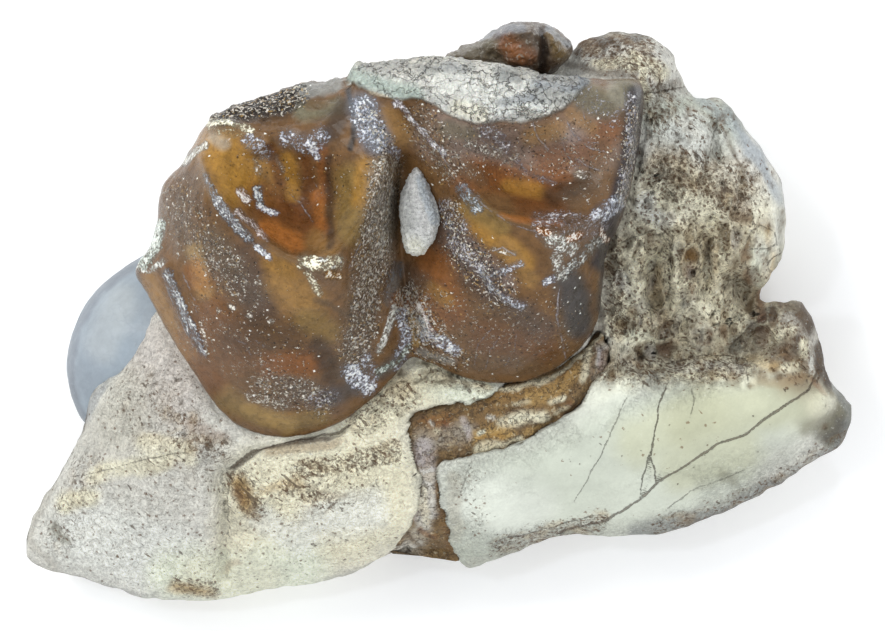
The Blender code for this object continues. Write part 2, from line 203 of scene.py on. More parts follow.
def distance_to_path(x, y, path):
    """Distance in pixels from each point to the line through the path's points."""
    nearest = np.full(x.shape, np.inf)
    for (x0, y0), (x1, y1) in zip(path, path[1:]):
        dx, dy = x1 - x0, y1 - y0
        share = np.clip(((x - x0) * dx + (y - y0) * dy) / (dx * dx + dy * dy), 0, 1)
        nearest = np.minimum(nearest, np.hypot(x - x0 - share * dx, y - y0 - share * dy))
    return nearest


def relief(x, y, features):
    """Ridges and grooves: each path adds its height times exp(-(distance / half width)^2)."""
    total = np.zeros(x.shape)
    for path, height, half_width in features:
        total += height * np.exp(-((distance_to_path(x, y, path) / half_width) ** 2))
    return total


def fall(distance, half_width):
    """1 inside, 0.5 at the half width, 0 outside: a smoothstep from 0.4 to 1.6 half widths."""
    share = np.clip((1.6 - distance / half_width) / 1.2, 0, 1)
    return share * share * (3 - 2 * share)


def lump_noise(x, y, z, cell, seed):
    """Value noise from -1 to 1: random values on a 3D lattice, blended smoothly between."""
    size = 32
    lattice = np.random.default_rng(seed).uniform(-1, 1, (size, size, size))
    place = np.stack([x, y, z], axis=-1) / cell + 4 * size
    corner = np.floor(place).astype(int)
    share = place - corner
    share = share * share * (3 - 2 * share)
    total = np.zeros(x.shape)
    for offset in np.ndindex(2, 2, 2):
        index = (corner + offset) % size
        weight = np.where(np.array(offset) == 1, share, 1 - share).prod(axis=-1)
        total += weight * lattice[index[..., 0], index[..., 1], index[..., 2]]
    return total


def layered_noise(x, y, z, cell, seed, layers=3):
    """Lump noise at halving sizes and halving strengths, from about -1 to 1."""
    total = sum(0.5**layer * lump_noise(x, y, z, cell * 0.5**layer, seed + layer)
                for layer in range(layers))
    return total / 1.4


check_x, check_y = np.meshgrid(np.arange(5.0), np.arange(5.0))
print("noise sample:", layered_noise(check_x, check_y, check_x, 3.0, 1).round(2)[0])

# %% [markdown]
# ## Palette and painting
# The colours are named as a restorer would name them. Each stain is a stroke of one colour
# along a short path. Its edge is bent by noise, so that no stain looks drawn with a ruler.

# %% Palette
PALETTE_8BIT = {
    "grey_beige": (226, 224, 214), "cream": (250, 244, 214), "cream_white": (242, 246, 224),
    "bone_white": (248, 250, 242), "warm_grey": (178, 174, 162), "grey": (142, 144, 140),
    "blue_grey": (138, 146, 156), "pale_blue": (168, 181, 192), "blue_white": (198, 203, 216),
    "grey_green": (184, 196, 186), "lilac": (196, 192, 198), "pink_grey": (200, 184, 180),
    "ochre": (190, 156, 96), "tan": (150, 114, 64), "golden": (160, 118, 50),
    "orange": (156, 96, 42), "rust": (126, 78, 38), "red_brown": (102, 62, 30),
    "brown": (110, 80, 48), "dark_brown": (62, 46, 32), "umber": (92, 74, 54),
    "olive": (126, 102, 56), "olive_grey": (118, 114, 92), "purple_brown": (84, 66, 54),
    "slate": (70, 66, 64), "blue_black": (32, 34, 44), "pit_brown": (122, 98, 66),
    # spark is the colour of the painted glints on the enamel.
    "soot": (34, 28, 24), "spark": (226, 218, 204), "ivory": (198, 203, 188),
    "old_ivory": (186, 187, 158),
}


def linear(rgb):
    """Display values from 0 to 255 as linear light."""
    share = np.array(rgb, float) / 255
    return np.where(share <= 0.04045, share / 12.92, ((share + 0.055) / 1.055) ** 2.4)


PALETTE = {name: linear(rgb) for name, rgb in PALETTE_8BIT.items()}


def painted(x, y, z, base, strokes, seed, bend=5.0):
    """Stains on a base colour: each stroke mixes its colour in by fall(distance to its path)."""
    bent_x = x + bend * layered_noise(x, y, z, 22, seed)
    bent_y = y + bend * layered_noise(x, y, z, 22, seed + 10)
    colour = np.empty(x.shape + (3,))
    colour[:] = PALETTE[base]
    for name, strength, half_width, path in strokes:
        amount = strength * fall(distance_to_path(bent_x, bent_y, path), half_width)
        colour += (PALETTE[name] - colour) * amount[..., None]
    return colour


def covered(x, y, z, strokes, seed, bend=5.0):
    """A mask: the strongest of the strokes at each point, with edges bent as in painted()."""
    bent_x = x + bend * layered_noise(x, y, z, 22, seed)
    bent_y = y + bend * layered_noise(x, y, z, 22, seed + 10)
    mask = np.zeros(x.shape)
    for strength, half_width, path in strokes:
        amount = strength * fall(distance_to_path(bent_x, bent_y, path), half_width)
        mask = np.maximum(mask, amount)
    return mask


def inside_distance(x, y, outline):
    """Distance in pixels to a closed outline, positive inside it by the even-odd rule."""
    loop = closed_curve(outline, 100)
    loop = np.vstack([loop, loop[:1]])
    inside = np.zeros(x.shape, bool)
    for (x0, y0), (x1, y1) in zip(loop, loop[1:]):
        if y0 != y1:
            inside ^= ((y0 > y) != (y1 > y)) & (x < (x1 - x0) * (y - y0) / (y1 - y0) + x0)
    away = distance_to_path(x, y, loop)
    return np.where(inside, away, -away)


print("colours:", len(PALETTE))

# %% [markdown]
# ## One closed lump on a grid
# Each piece is a grid of rings by columns. The rings start at a pole on top, spread over the
# upper surface, roll down the side and close at a pole under the floor. A remeshed sculpt would
# do too, but on this grid every vertex knows its place in the plan, which the painting needs.

# %% Lump and mesh
def lump_grid(outline, centre, top, rim, floor, columns, rings, floor_share, edge, bulge):
    """Plan positions and heights of a lump, as arrays of rings by columns.

    On top, a ring is the outline shrunk to its share about the centre, and its height runs
    from top(x, y) to rim(x, y) as sqrt(1 - share^edge). Down the side the outline shrinks to
    floor_share by the power bulge of a superellipse. The floor is flat.
    """
    top_rings, side_rings, floor_rings = rings
    curve = closed_curve(outline, columns)
    ring = np.arange(sum(rings) + 1)[:, None]
    on_top = np.clip(ring / top_rings, 0, 1)
    on_side = np.sin(np.clip((ring - top_rings) / side_rings, 0, 1) * math.pi / 2)
    on_floor = np.clip((ring - top_rings - side_rings) / floor_rings, 0, 1)
    is_top = ring <= top_rings
    share = 0.65 * on_top + 0.35 * np.sin(on_top * math.pi / 2)
    inward = floor_share + (1 - floor_share) * (1 - on_side**2) ** (1 / bulge)
    reach = np.where(is_top, share, inward * (1 - on_floor))
    x = centre[0] + reach * (curve[:, 0] - centre[0])[None]
    y = centre[1] + reach * (curve[:, 1] - centre[1])[None]
    rim_height = rim(curve[:, 0], curve[:, 1])[None] + 0 * x
    rolled = np.sqrt(np.clip(1 - share**edge, 0, 1))
    on_top_height = rim_height + (top(x, y) - rim_height) * rolled
    side_height = floor + (rim_height - floor) * (1 - on_side**bulge)
    return x, y, np.where(is_top, on_top_height, side_height)


def grid_normals(points):
    """Outward unit normals: the cross product of the steps along rings and columns."""
    along = np.roll(points, -1, axis=1) - np.roll(points, 1, axis=1)
    down = np.gradient(points, axis=0)
    normal = np.cross(down, along)
    length = np.linalg.norm(normal, axis=-1, keepdims=True)
    return normal / np.maximum(length, 1e-12)


def lump_mesh(name, points, look, node, values):
    """The grid as one closed mesh: a fan at each pole, quads between, one value set each."""
    rings, columns = points.shape[:2]
    points = np.clip(points, BOX_LOW, BOX_HIGH)
    inner = points[1:-1].reshape(-1, 3)
    vertices = np.vstack([points[:1, 0], inner, points[-1:, 0]])
    row = (np.arange(rings - 3)[:, None]) * columns + 1
    here = np.arange(columns)[None]
    beyond = (here + 1) % columns
    quads = np.stack([row + here, row + columns + here, row + columns + beyond, row + beyond],
                     axis=-1).reshape(-1, 4)
    last_row = 1 + (rings - 3) * columns
    bottom = len(vertices) - 1
    top_fan = np.stack([0 * here, 1 + here, 1 + beyond], axis=-1).reshape(-1, 3)
    low_fan = np.stack([0 * here + bottom, last_row + beyond, last_row + here],
                       axis=-1).reshape(-1, 3)
    mesh = bpy.data.meshes.new(name)
    mesh.from_pydata(vertices.tolist(), [], top_fan.tolist() + quads.tolist() + low_fan.tolist())
    for value_name, value in values.items():
        flat = value[1:-1].reshape(len(inner), -1)
        full = np.vstack([value[:1, 0].reshape(1, -1), flat, value[-1:, 0].reshape(1, -1)])
        if full.shape[1] == 3:
            layer = mesh.attributes.new(value_name, "FLOAT_COLOR", "POINT")
            layer.data.foreach_set("color", np.column_stack([full, np.ones(len(full))]).ravel())
        else:
            layer = mesh.attributes.new(value_name, "FLOAT", "POINT")
            layer.data.foreach_set("value", full.ravel())
    mesh.shade_smooth()
    mesh.materials.append(look)
    piece = bpy.data.objects.new(name, mesh)
    bpy.context.collection.objects.link(piece)
    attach(piece, "root")
    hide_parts(node)
    print(name, len(mesh.polygons), "faces")
    return piece


# %% [markdown]
# ## Shared surface effects
# Six effects return on the pieces, so each is a node group: mineral grain, a fine cloudy noise
# that varies colour and lifts the surface, specks, small irregular spots whose number
# follows a density painted on the mesh, wrinkles, ragged flakes, dots and short ticks.

# %% Node groups
def new_group(name, inputs, outputs):
    """A shader group with float inputs (name, value) and outputs, and its two end nodes."""
    tree = bpy.data.node_groups.new(name, "ShaderNodeTree")
    for label, value in inputs:
        socket = tree.interface.new_socket(name=label, in_out="INPUT", socket_type="NodeSocketFloat")
        socket.default_value = value
    for label in outputs:
        tree.interface.new_socket(name=label, in_out="OUTPUT", socket_type="NodeSocketFloat")
    return tree, tree.nodes.new("NodeGroupInput"), tree.nodes.new("NodeGroupOutput")


def add_noise(tree, vector, scale, detail=4.0, roughness=0.6):
    """Noise on object coordinates, scale in waves per metre."""
    node = tree.nodes.new("ShaderNodeTexNoise")
    tree.links.new(vector, node.inputs["Vector"])
    if isinstance(scale, (int, float)):
        node.inputs["Scale"].default_value = scale
    else:
        tree.links.new(scale, node.inputs["Scale"])
    node.inputs["Detail"].default_value = detail
    node.inputs["Roughness"].default_value = roughness
    return node.outputs["Fac"]


def add_math(tree, operation, first, second=None, third=None):
    """A Math node with sockets or plain numbers as its operands."""
    node = tree.nodes.new("ShaderNodeMath")
    node.operation = operation
    for slot, operand in enumerate((first, second, third)):
        if operand is None:
            continue
        if isinstance(operand, (int, float)):
            node.inputs[slot].default_value = operand
        else:
            tree.links.new(operand, node.inputs[slot])
    return node.outputs[0]


def add_band(tree, value, low, high):
    """0 below low, 1 above high, smooth between; low and high are sockets or numbers."""
    node = tree.nodes.new("ShaderNodeMapRange")
    node.interpolation_type = "SMOOTHSTEP"
    tree.links.new(value, node.inputs["Value"])
    for label, limit in (("From Min", low), ("From Max", high)):
        if isinstance(limit, (int, float)):
            node.inputs[label].default_value = limit
        else:
            tree.links.new(limit, node.inputs[label])
    return node.outputs["Result"]


def make_grain_group():
    """Grain: fine noise, 0 to 1, at a size of Waves per metre, with a broader cloud beside it."""
    tree, start, end = new_group("mineral_grain", [("Waves", 4000.0)], ["Fine", "Cloud"])
    place = tree.nodes.new("ShaderNodeTexCoord").outputs["Object"]
    tree.links.new(add_noise(tree, place, start.outputs["Waves"], 6.0, 0.68), end.inputs["Fine"])
    broad = add_math(tree, "MULTIPLY", start.outputs["Waves"], 0.14)
    tree.links.new(add_noise(tree, place, broad, 3.0, 0.55), end.inputs["Cloud"])
    return tree


def make_speck_group():
    """Specks: where noise passes 1 minus the density, a spot with a soft edge."""
    tree, start, end = new_group("specks", [("Waves", 3500.0), ("Density", 0.3)], ["Mask"])
    place = tree.nodes.new("ShaderNodeTexCoord").outputs["Object"]
    noise = add_noise(tree, place, start.outputs["Waves"], 2.5, 0.6)
    limit = add_math(tree, "MULTIPLY_ADD", start.outputs["Density"], -0.36, 0.76)
    upper = add_math(tree, "ADD", limit, 0.05)
    tree.links.new(add_band(tree, noise, limit, upper), end.inputs["Mask"])
    return tree


def make_wrinkle_group():
    """Wrinkles: thin lines where a noise crosses its middle value."""
    tree, start, end = new_group("wrinkles", [("Waves", 1500.0), ("Width", 0.02)], ["Line"])
    place = tree.nodes.new("ShaderNodeTexCoord").outputs["Object"]
    noise = add_noise(tree, place, start.outputs["Waves"], 3.5, 0.6)
    away = add_math(tree, "ABSOLUTE", add_math(tree, "SUBTRACT", noise, 0.5))
    tree.links.new(add_band(tree, away, start.outputs["Width"], 0.0), end.inputs["Line"])
    return tree


def ragged_cells(tree, waves, bend, bend_size, feature="F1"):
    """A Voronoi pattern of waves cells per metre, its coordinates bent by noise, in cells."""
    cells = tree.nodes.new("ShaderNodeVectorMath")
    cells.operation = "SCALE"
    tree.links.new(tree.nodes.new("ShaderNodeTexCoord").outputs["Object"], cells.inputs[0])
    tree.links.new(waves, cells.inputs["Scale"])
    wander = tree.nodes.new("ShaderNodeTexNoise")
    wander.inputs["Scale"].default_value = bend_size
    wander.inputs["Detail"].default_value = 4.0
    tree.links.new(cells.outputs["Vector"], wander.inputs["Vector"])
    bent = tree.nodes.new("ShaderNodeVectorMath")
    bent.operation = "MULTIPLY_ADD"
    tree.links.new(wander.outputs["Color"], bent.inputs[0])
    bent.inputs[1].default_value = (bend,) * 3
    tree.links.new(cells.outputs["Vector"], bent.inputs[2])
    pattern = tree.nodes.new("ShaderNodeTexVoronoi")
    pattern.feature = feature
    pattern.inputs["Scale"].default_value = 1.0
    tree.links.new(bent.outputs["Vector"], pattern.inputs["Vector"])
    return pattern


def make_flake_group():
    """Flakes: ragged cells, each with a tone from 0 to 1, and the thin lines between them."""
    tree, start, end = new_group("flakes", [("Waves", 2000.0), ("Width", 0.05)], ["Line", "Tone"])
    waves = start.outputs["Waves"]
    edge = ragged_cells(tree, waves, *FLAKE_BEND, "DISTANCE_TO_EDGE")
    middle = ragged_cells(tree, waves, *FLAKE_BEND)
    lot = tree.nodes.new("ShaderNodeTexWhiteNoise")
    tree.links.new(middle.outputs["Position"], lot.inputs["Vector"])
    line = add_band(tree, edge.outputs["Distance"], start.outputs["Width"], 0.0)
    tree.links.new(line, end.inputs["Line"])
    tree.links.new(lot.outputs["Value"], end.inputs["Tone"])
    return tree


def make_dot_group():
    """Dots about the seeds of a Voronoi pattern; a share Density of them shows."""
    tree, start, end = new_group("dots", [("Waves", 9000.0), ("Density", 0.3)], ["Mask"])
    cells = ragged_cells(tree, start.outputs["Waves"], *DOT_BEND)
    lot = tree.nodes.new("ShaderNodeTexWhiteNoise")
    tree.links.new(cells.outputs["Position"], lot.inputs["Vector"])
    chosen = add_math(tree, "LESS_THAN", lot.outputs["Value"], start.outputs["Density"])
    dot = add_band(tree, cells.outputs["Distance"], 0.42, 0.26)
    tree.links.new(add_math(tree, "MULTIPLY", dot, chosen), end.inputs["Mask"])
    return tree


def stretched(tree, angle, times):
    """Object coordinates that draw a pattern out in the plan, along the angle in radians."""
    turned = tree.nodes.new("ShaderNodeMapping")
    turned.vector_type = "TEXTURE"
    turned.inputs["Rotation"].default_value = (0, 0, angle)
    turned.inputs["Scale"].default_value = (times, 1, 1)
    place = tree.nodes.new("ShaderNodeTexCoord").outputs["Object"]
    tree.links.new(place, turned.inputs["Vector"])
    return turned.outputs["Vector"]


def make_tick_group():
    """Ticks: short dark strokes, specks of a noise stretched along one direction of the plan."""
    tree, start, end = new_group("ticks", [("Waves", 5200.0), ("Density", 0.3)], ["Mask"])
    noise = add_noise(tree, stretched(tree, TICK_ANGLE, 3.0), start.outputs["Waves"], 2.0, 0.5)
    limit = add_math(tree, "MULTIPLY_ADD", start.outputs["Density"], -0.24, 0.76)
    upper = add_math(tree, "ADD", limit, 0.04)
    tree.links.new(add_band(tree, noise, limit, upper), end.inputs["Mask"])
    return tree


TICK_ANGLE = -0.8  # radians
FLAKE_BEND = (2.2, 1.7)  # how far and how closely waved, in cells
DOT_BEND = (1.1, 2.6)
GRAIN = make_grain_group()
SPECKS = make_speck_group()
WRINKLES = make_wrinkle_group()
FLAKES = make_flake_group()
DOTS = make_dot_group()
TICKS = make_tick_group()
print("groups:", [group.name for group in (GRAIN, SPECKS, WRINKLES, FLAKES, DOTS, TICKS)])

# %% Material helpers
def new_look(name, roughness, **constants):
    """A material with its Principled BSDF; constants are set on the shader's own sockets."""
    look = bpy.data.materials.new(name)
    look.use_nodes = True
    shader = look.node_tree.nodes["Principled BSDF"]
    shader.inputs["Roughness"].default_value = roughness
    for label, value in constants.items():
        shader.inputs[label.replace("_", " ")].default_value = value
    return look, look.node_tree, shader


def add_group(tree, group, **values):
    """A group node with plain numbers or sockets on its inputs."""
    node = tree.nodes.new("ShaderNodeGroup")
    node.node_tree = group
    for label, value in values.items():
        if isinstance(value, (int, float)):
            node.inputs[label].default_value = value
        else:
            tree.links.new(value, node.inputs[label])
    return node


def read_value(tree, name, output="Fac"):
    """A value or colour that the mesh carries."""
    node = tree.nodes.new("ShaderNodeAttribute")
    node.attribute_name = name
    return node.outputs[output]


def add_mix(tree, amount, first, second, blend="MIX"):
    """Colour mixing; first and second are sockets or linear colours."""
    node = tree.nodes.new("ShaderNodeMix")
    node.data_type = "RGBA"
    node.blend_type = blend
    sockets = [item for item in node.inputs if item.type == "RGBA"]
    if isinstance(amount, (int, float)):
        node.inputs[0].default_value = amount
    else:
        tree.links.new(amount, node.inputs[0])
    for socket, colour in zip(sockets, (first, second)):
        if isinstance(colour, bpy.types.NodeSocket):
            tree.links.new(colour, socket)
        else:
            socket.default_value = (*colour, 1)
    return next(item for item in node.outputs if item.type == "RGBA")


def shaded(tree, colour, grain, low, high):
    """A colour darkened and lightened by grain, as a factor from low to high."""
    node = tree.nodes.new("ShaderNodeMapRange")
    tree.links.new(grain, node.inputs["Value"])
    node.inputs["From Min"].default_value = 0.25
    node.inputs["From Max"].default_value = 0.75
    node.inputs["To Min"].default_value = low
    node.inputs["To Max"].default_value = high
    scaled = tree.nodes.new("ShaderNodeVectorMath")
    scaled.operation = "SCALE"
    tree.links.new(colour, scaled.inputs[0])
    tree.links.new(node.outputs["Result"], scaled.inputs["Scale"])
    return scaled.outputs["Vector"]


def add_bump(tree, shader, height, depth):
    """Fine relief: height from 0 to 1, depth in metres."""
    node = tree.nodes.new("ShaderNodeBump")
    node.inputs["Strength"].default_value = 1.0
    node.inputs["Distance"].default_value = depth
    tree.links.new(height, node.inputs["Height"])
    tree.links.new(node.outputs["Normal"], shader.inputs["Normal"])


print("material helpers ready")

# %% [markdown]
# ## The jaw bone
# The bone is one natural piece: a grey slope on the left, a cream plate under the molar, a cream
# plate with cracks on the right, and behind it the spongy inside of the bone, full of pits. The
# spots below are its map. Pits are scattered by a seeded random draw, because sponge has no plan.

# %% Bone map
BONE_CENTRE = (530, 400)
BONE_OUTLINE = [
    (128, 345), (112, 371), (95, 388), (88, 408), (78, 440), (66, 462), (52, 484), (40, 505),
    (28, 530), (23, 549), (33, 563), (60, 573), (95, 584), (140, 597), (190, 602), (240, 596),
    (300, 586), (352, 575), (390, 556), (420, 551), (446, 553), (468, 569), (490, 564),
    (530, 546), (568, 534), (610, 536), (665, 534), (705, 521), (755, 497), (805, 466),
    (838, 447), (854, 414), (846, 398), (831, 380), (820, 343), (804, 303), (788, 301),
    (775, 302), (764, 302), (762, 292), (772, 274), (785, 247), (784, 205), (777, 171), (749, 134),
    (722, 102), (694, 98), (682, 85), (667, 49), (643, 34), (612, 32), (585, 42), (567, 54),
    (557, 42), (532, 31), (502, 36), (474, 51), (440, 68), (400, 72), (354, 80), (300, 98),
    (240, 120), (216, 134), (192, 170), (174, 196), (168, 240), (156, 280), (142, 312),
]
BONE_SPOTS = [
    (140, 330, 7.3), (170, 400, 7.9), (100, 402, 6.6), (82, 445, 5.9), (60, 500, 4.9),
    (32, 546, 4.0), (150, 480, 7.1), (200, 530, 6.5), (130, 572, 4.8), (200, 592, 4.4),
    (260, 562, 5.4), (225, 465, 7.5), (300, 505, 7.2), (300, 455, 8.3), (345, 562, 4.9),
    (385, 480, 7.6), (385, 535, 6.0), (250, 442, 8.3), (350, 430, 8.5), (400, 400, 8.6),
    (460, 385, 8.6), (470, 485, 7.6), (475, 545, 5.6), (525, 475, 7.9), (560, 440, 8.4),
    (600, 402, 8.7), (565, 522, 5.4), (640, 485, 7.1), (645, 392, 8.5), (705, 402, 8.3),
    (700, 482, 6.4), (765, 402, 8.1), (765, 465, 5.9), (820, 402, 6.8), (846, 415, 5.4),
    (640, 350, 7.7), (700, 350, 7.1), (750, 345, 6.4), (795, 335, 7.2), (640, 255, 8.4),
    (700, 255, 8.6), (752, 255, 7.9), (778, 230, 6.8), (680, 170, 9.4), (742, 172, 8.2),
    (655, 112, 9.9), (712, 115, 8.3), (635, 60, 9.8), (658, 55, 9.0), (600, 52, 8.8),
    (200, 300, 7.2), (300, 250, 7.4), (420, 250, 7.6), (520, 250, 8.0), (450, 120, 7.6),
    (250, 160, 7.2), (560, 90, 8.4),
]
BONE_RIM = [
    (60, 480, 3.4), (30, 550, 2.6), (190, 600, 2.6), (350, 575, 3.0), (470, 566, 3.2),
    (620, 535, 3.6), (760, 490, 3.8), (852, 415, 4.2), (800, 303, 5.2), (762, 305, 4.6),
    (784, 230, 4.8), (748, 133, 5.6), (694, 98, 6.0), (640, 34, 6.4), (570, 52, 5.2),
    (440, 70, 4.8), (300, 98, 4.8), (175, 195, 4.6), (140, 315, 4.4),
]
BONE_RELIEF = [
    ([(75, 476), (110, 462), (150, 452), (200, 444)], 0.5, 15),
    ([(222, 480), (226, 520), (222, 575)], -0.35, 15),
    ([(60, 512), (90, 500)], 0.4, 15),
    ([(655, 262), (650, 300)], -0.8, 15),
    ([(672, 305), (668, 345)], -0.8, 15),
    ([(708, 240), (706, 290)], -0.8, 15),
    ([(735, 285), (748, 300)], -1.0, 16),
    ([(640, 360), (700, 356), (748, 350)], -0.8, 16),
    ([(715, 128), (718, 156)], -0.6, 14),
    ([(680, 190), (672, 230)], 0.4, 16),
    ([(756, 215), (762, 245)], 0.4, 16),
    ([(660, 94), (682, 92)], -0.6, 14),
    ([(800, 320), (796, 350)], 0.5, 15),
    ([(700, 520), (760, 478), (820, 436)], -0.4, 14),
]
MOLAR_FRONT = [
    (151, 247), (136, 270), (146, 290), (165, 325), (190, 366), (222, 411), (258, 433), (292, 437),
    (333, 426), (368, 401), (396, 374), (411, 358), (428, 362), (452, 373), (488, 382),
    (520, 382), (548, 373), (578, 350), (597, 322), (602, 290), (606, 252), (622, 217),
    (632, 180), (640, 132), (643, 94),
]
BONE_FINE_RELIEF = [
    (MOLAR_FRONT, -0.3, 6),
    ([(60, 500), (85, 492)], 0.35, 12),
    ([(45, 520), (60, 556)], -0.2, 8),
    ([(222, 472), (225, 520), (222, 575)], -0.3, 5),
    ([(232, 467), (255, 450), (290, 442), (345, 428)], -0.25, 4),
    ([(128, 455), (180, 470), (215, 500)], 0.2, 10),
    ([(655, 228), (660, 252)], -0.5, 8),
    ([(655, 268), (652, 300)], -0.5, 9),
    ([(690, 250), (692, 270)], -0.4, 7),
    ([(708, 240), (706, 288)], -0.4, 4),
    ([(735, 278), (748, 300)], -0.6, 9),
    ([(640, 250), (636, 300)], 0.35, 6),
    ([(676, 262), (674, 320)], 0.35, 6),
    ([(694, 290), (716, 330)], 0.3, 7),
    ([(722, 220), (738, 262)], 0.4, 7),
    ([(775, 200), (778, 250), (764, 285)], 0.4, 8),
    ([(640, 94), (660, 92), (682, 88)], -0.5, 4),
    ([(714, 126), (717, 158)], -0.5, 5),
    ([(741, 172), (738, 194)], -0.4, 5),
    ([(760, 340), (790, 352), (815, 392)], -0.5, 8),
    ([(788, 330), (800, 345)], 0.4, 8),
    ([(812, 338), (816, 372)], 0.35, 5),
    ([(606, 40), (640, 44), (660, 60)], 0.25, 9),
]
VEIN_OUTLINE = [
    (410, 417), (425, 408), (440, 403), (462, 402), (483, 399), (500, 390), (508, 382), (548, 370),
    (580, 350), (597, 332), (608, 342), (610, 362), (598, 374), (587, 393), (578, 408), (557, 420),
    (540, 432), (507, 446), (473, 456), (443, 461), (438, 478), (440, 500), (446, 524), (450, 545),
    (457, 563), (440, 560), (420, 560), (400, 558), (386, 556), (400, 540), (412, 520), (419, 500),
    (420, 480), (415, 460), (411, 440),
]
TRENCH_DEPTH = 1.2
CRACKS = [  # strength, path
    (1.0, [(560, 532), (608, 520), (640, 500), (655, 485), (690, 462), (715, 445), (745, 435), (765, 418),
           (790, 402), (808, 390), (817, 372)]),
    (0.6, [(655, 484), (651, 455), (655, 425), (660, 400), (667, 384)]),
    (0.45, [(640, 498), (643, 475), (650, 452)]),
    (0.3, [(625, 400), (600, 455), (575, 500)]),
    (0.35, [(472, 460), (465, 475), (461, 492)]),
    (0.4, [(488, 545), (530, 534), (560, 524), (600, 515)]),
    (0.3, [(690, 388), (694, 402), (692, 412)]),
    (0.4, [(232, 468), (229, 500), (226, 540)]),
    (1.0, [(232, 467), (255, 450), (290, 442), (330, 434), (352, 424)]),
    (0.5, [(640, 94), (660, 92), (682, 88)]),
    (0.3, [(745, 470), (700, 486), (668, 508)]),
    (0.4, [(72, 478), (110, 470), (150, 458), (190, 452)]),
    (0.35, [(142, 318), (126, 350), (108, 376)]),
    # edges of the sponge's large cells
    (0.5, [(658, 263), (649, 275), (646, 290), (649, 304), (658, 310), (667, 299), (670, 280), (668, 258),
           (670, 237)]),
    (0.45, [(649, 310), (656, 347)]), (0.4, [(681, 250), (690, 247), (698, 255), (701, 272), (695, 279),
                                             (684, 278), (679, 266), (681, 250)]),
    (0.5, [(672, 246), (671, 262)]), (0.45, [(746, 240), (750, 230), (760, 226), (772, 232), (774, 246),
                                             (764, 250), (750, 250)]),
    (0.5, [(779, 252), (768, 262), (772, 276), (764, 290)]), (0.5, [(620, 243), (632, 238), (650, 232)]),
    (0.45, [(716, 128), (708, 156)]), (0.5, [(744, 276), (726, 280), (722, 296)]),
    (0.5, [(764, 316), (748, 328), (730, 346)]), (0.4, [(748, 262), (748, 284)]),
    (0.5, [(668, 360), (700, 356), (744, 358)]), (0.4, [(746, 360), (748, 380)]),
]
PIT_FIELDS = [  # x, y, spread in x and y, count, smallest and largest radius
    (650, 200, 22, 34, 60, 1, 3), (690, 170, 30, 26, 60, 1, 3), (735, 190, 26, 30, 46, 1, 3),
    (640, 260, 20, 34, 30, 1, 3), (700, 250, 36, 40, 40, 1, 3), (745, 250, 18, 36, 20, 2, 4),
    (640, 335, 26, 22, 20, 1, 3), (700, 340, 36, 18, 24, 1, 3), (785, 345, 24, 24, 20, 1, 3),
    (600, 45, 18, 8, 30, 2, 3), (655, 105, 12, 18, 24, 2, 3), (385, 402, 18, 12, 16, 1, 2),
    (440, 380, 26, 6, 20, 2, 3), (150, 400, 50, 46, 16, 2, 4), (700, 120, 30, 14, 24, 2, 3),
]
PIT_DEPTH = 0.2
CELL_FIELDS = [(690, 295, 60, 44, 110, 1, 1), (745, 250, 22, 40, 24, 1, 1), (690, 360, 60, 12, 40, 1, 1)]
CELL_ZONE = [(1.0, 36, [(640, 262), (690, 262), (745, 232)]), (1.0, 44, [(640, 320), (700, 320), (745, 300)]),
             (1.0, 22, [(612, 366), (680, 362), (750, 364)])]
CELL_COLOURS = ["umber", "rust", "tan", "grey_beige", "cream", "pit_brown", "warm_grey", "cream"]


def scatter(fields, seed):
    """Random spots, normally spread about each field's middle: x, y and radius."""
    draw = np.random.default_rng(seed)
    spots = []
    for x, y, spread_x, spread_y, count, small, large in fields:
        places = draw.normal((x, y), (spread_x, spread_y), (count, 2))
        spots.append(np.column_stack([places, draw.uniform(small, large, count)]))
    return np.vstack(spots)


def hollows(x, y, spots):
    """The deepest of the spots' bell curves at each point, from 0 to 1."""
    depth = np.zeros(x.shape)
    for spot_x, spot_y, radius in spots:
        near = (np.abs(x - spot_x) < 3 * radius) & (np.abs(y - spot_y) < 3 * radius)
        away = np.hypot(x[near] - spot_x, y[near] - spot_y) / radius
        depth[near] = np.maximum(depth[near], np.exp(-(away**3)))
    return depth


def side_of_cracks(x, y, cracks):
    """Signed distance to the nearest crack, 0 on its line, and its strength there.

    The strength fades as exp(-(distance / 4)^2), so that nothing shows past a crack's end.
    """
    nearest = np.full(x.shape, np.inf)
    signed = np.zeros(x.shape)
    strength = np.zeros(x.shape)
    for crack_strength, path in cracks:
        for (x0, y0), (x1, y1) in zip(path, path[1:]):
            dx, dy = x1 - x0, y1 - y0
            share = np.clip(((x - x0) * dx + (y - y0) * dy) / (dx * dx + dy * dy), 0, 1)
            away = np.hypot(x - x0 - share * dx, y - y0 - share * dy)
            closer = away < nearest
            signed = np.where(closer, np.sign((x - x0) * dy - (y - y0) * dx) * away, signed)
            strength = np.where(closer, crack_strength, strength)
            nearest = np.minimum(nearest, away)
    return signed, strength * np.exp(-((nearest / 4) ** 2))


def cell_pattern(x, y, spots):
    """Cells about the spots: how far inside its cell a point is, in pixels, and which cell."""
    first = np.full(x.shape, np.inf)
    second = np.full(x.shape, np.inf)
    owner = np.zeros(x.shape, int)
    for index, (spot_x, spot_y, _) in enumerate(spots):
        away = np.hypot(x - spot_x, (y - spot_y) * 0.55)
        second = np.where(away < first, first, np.minimum(second, away))
        owner = np.where(away < first, index, owner)
        first = np.minimum(first, away)
    return second - first, owner


bone_pits = scatter(PIT_FIELDS, 21)
bone_cells = scatter(CELL_FIELDS, 22)
print("pits:", len(bone_pits), "cells:", len(bone_cells))

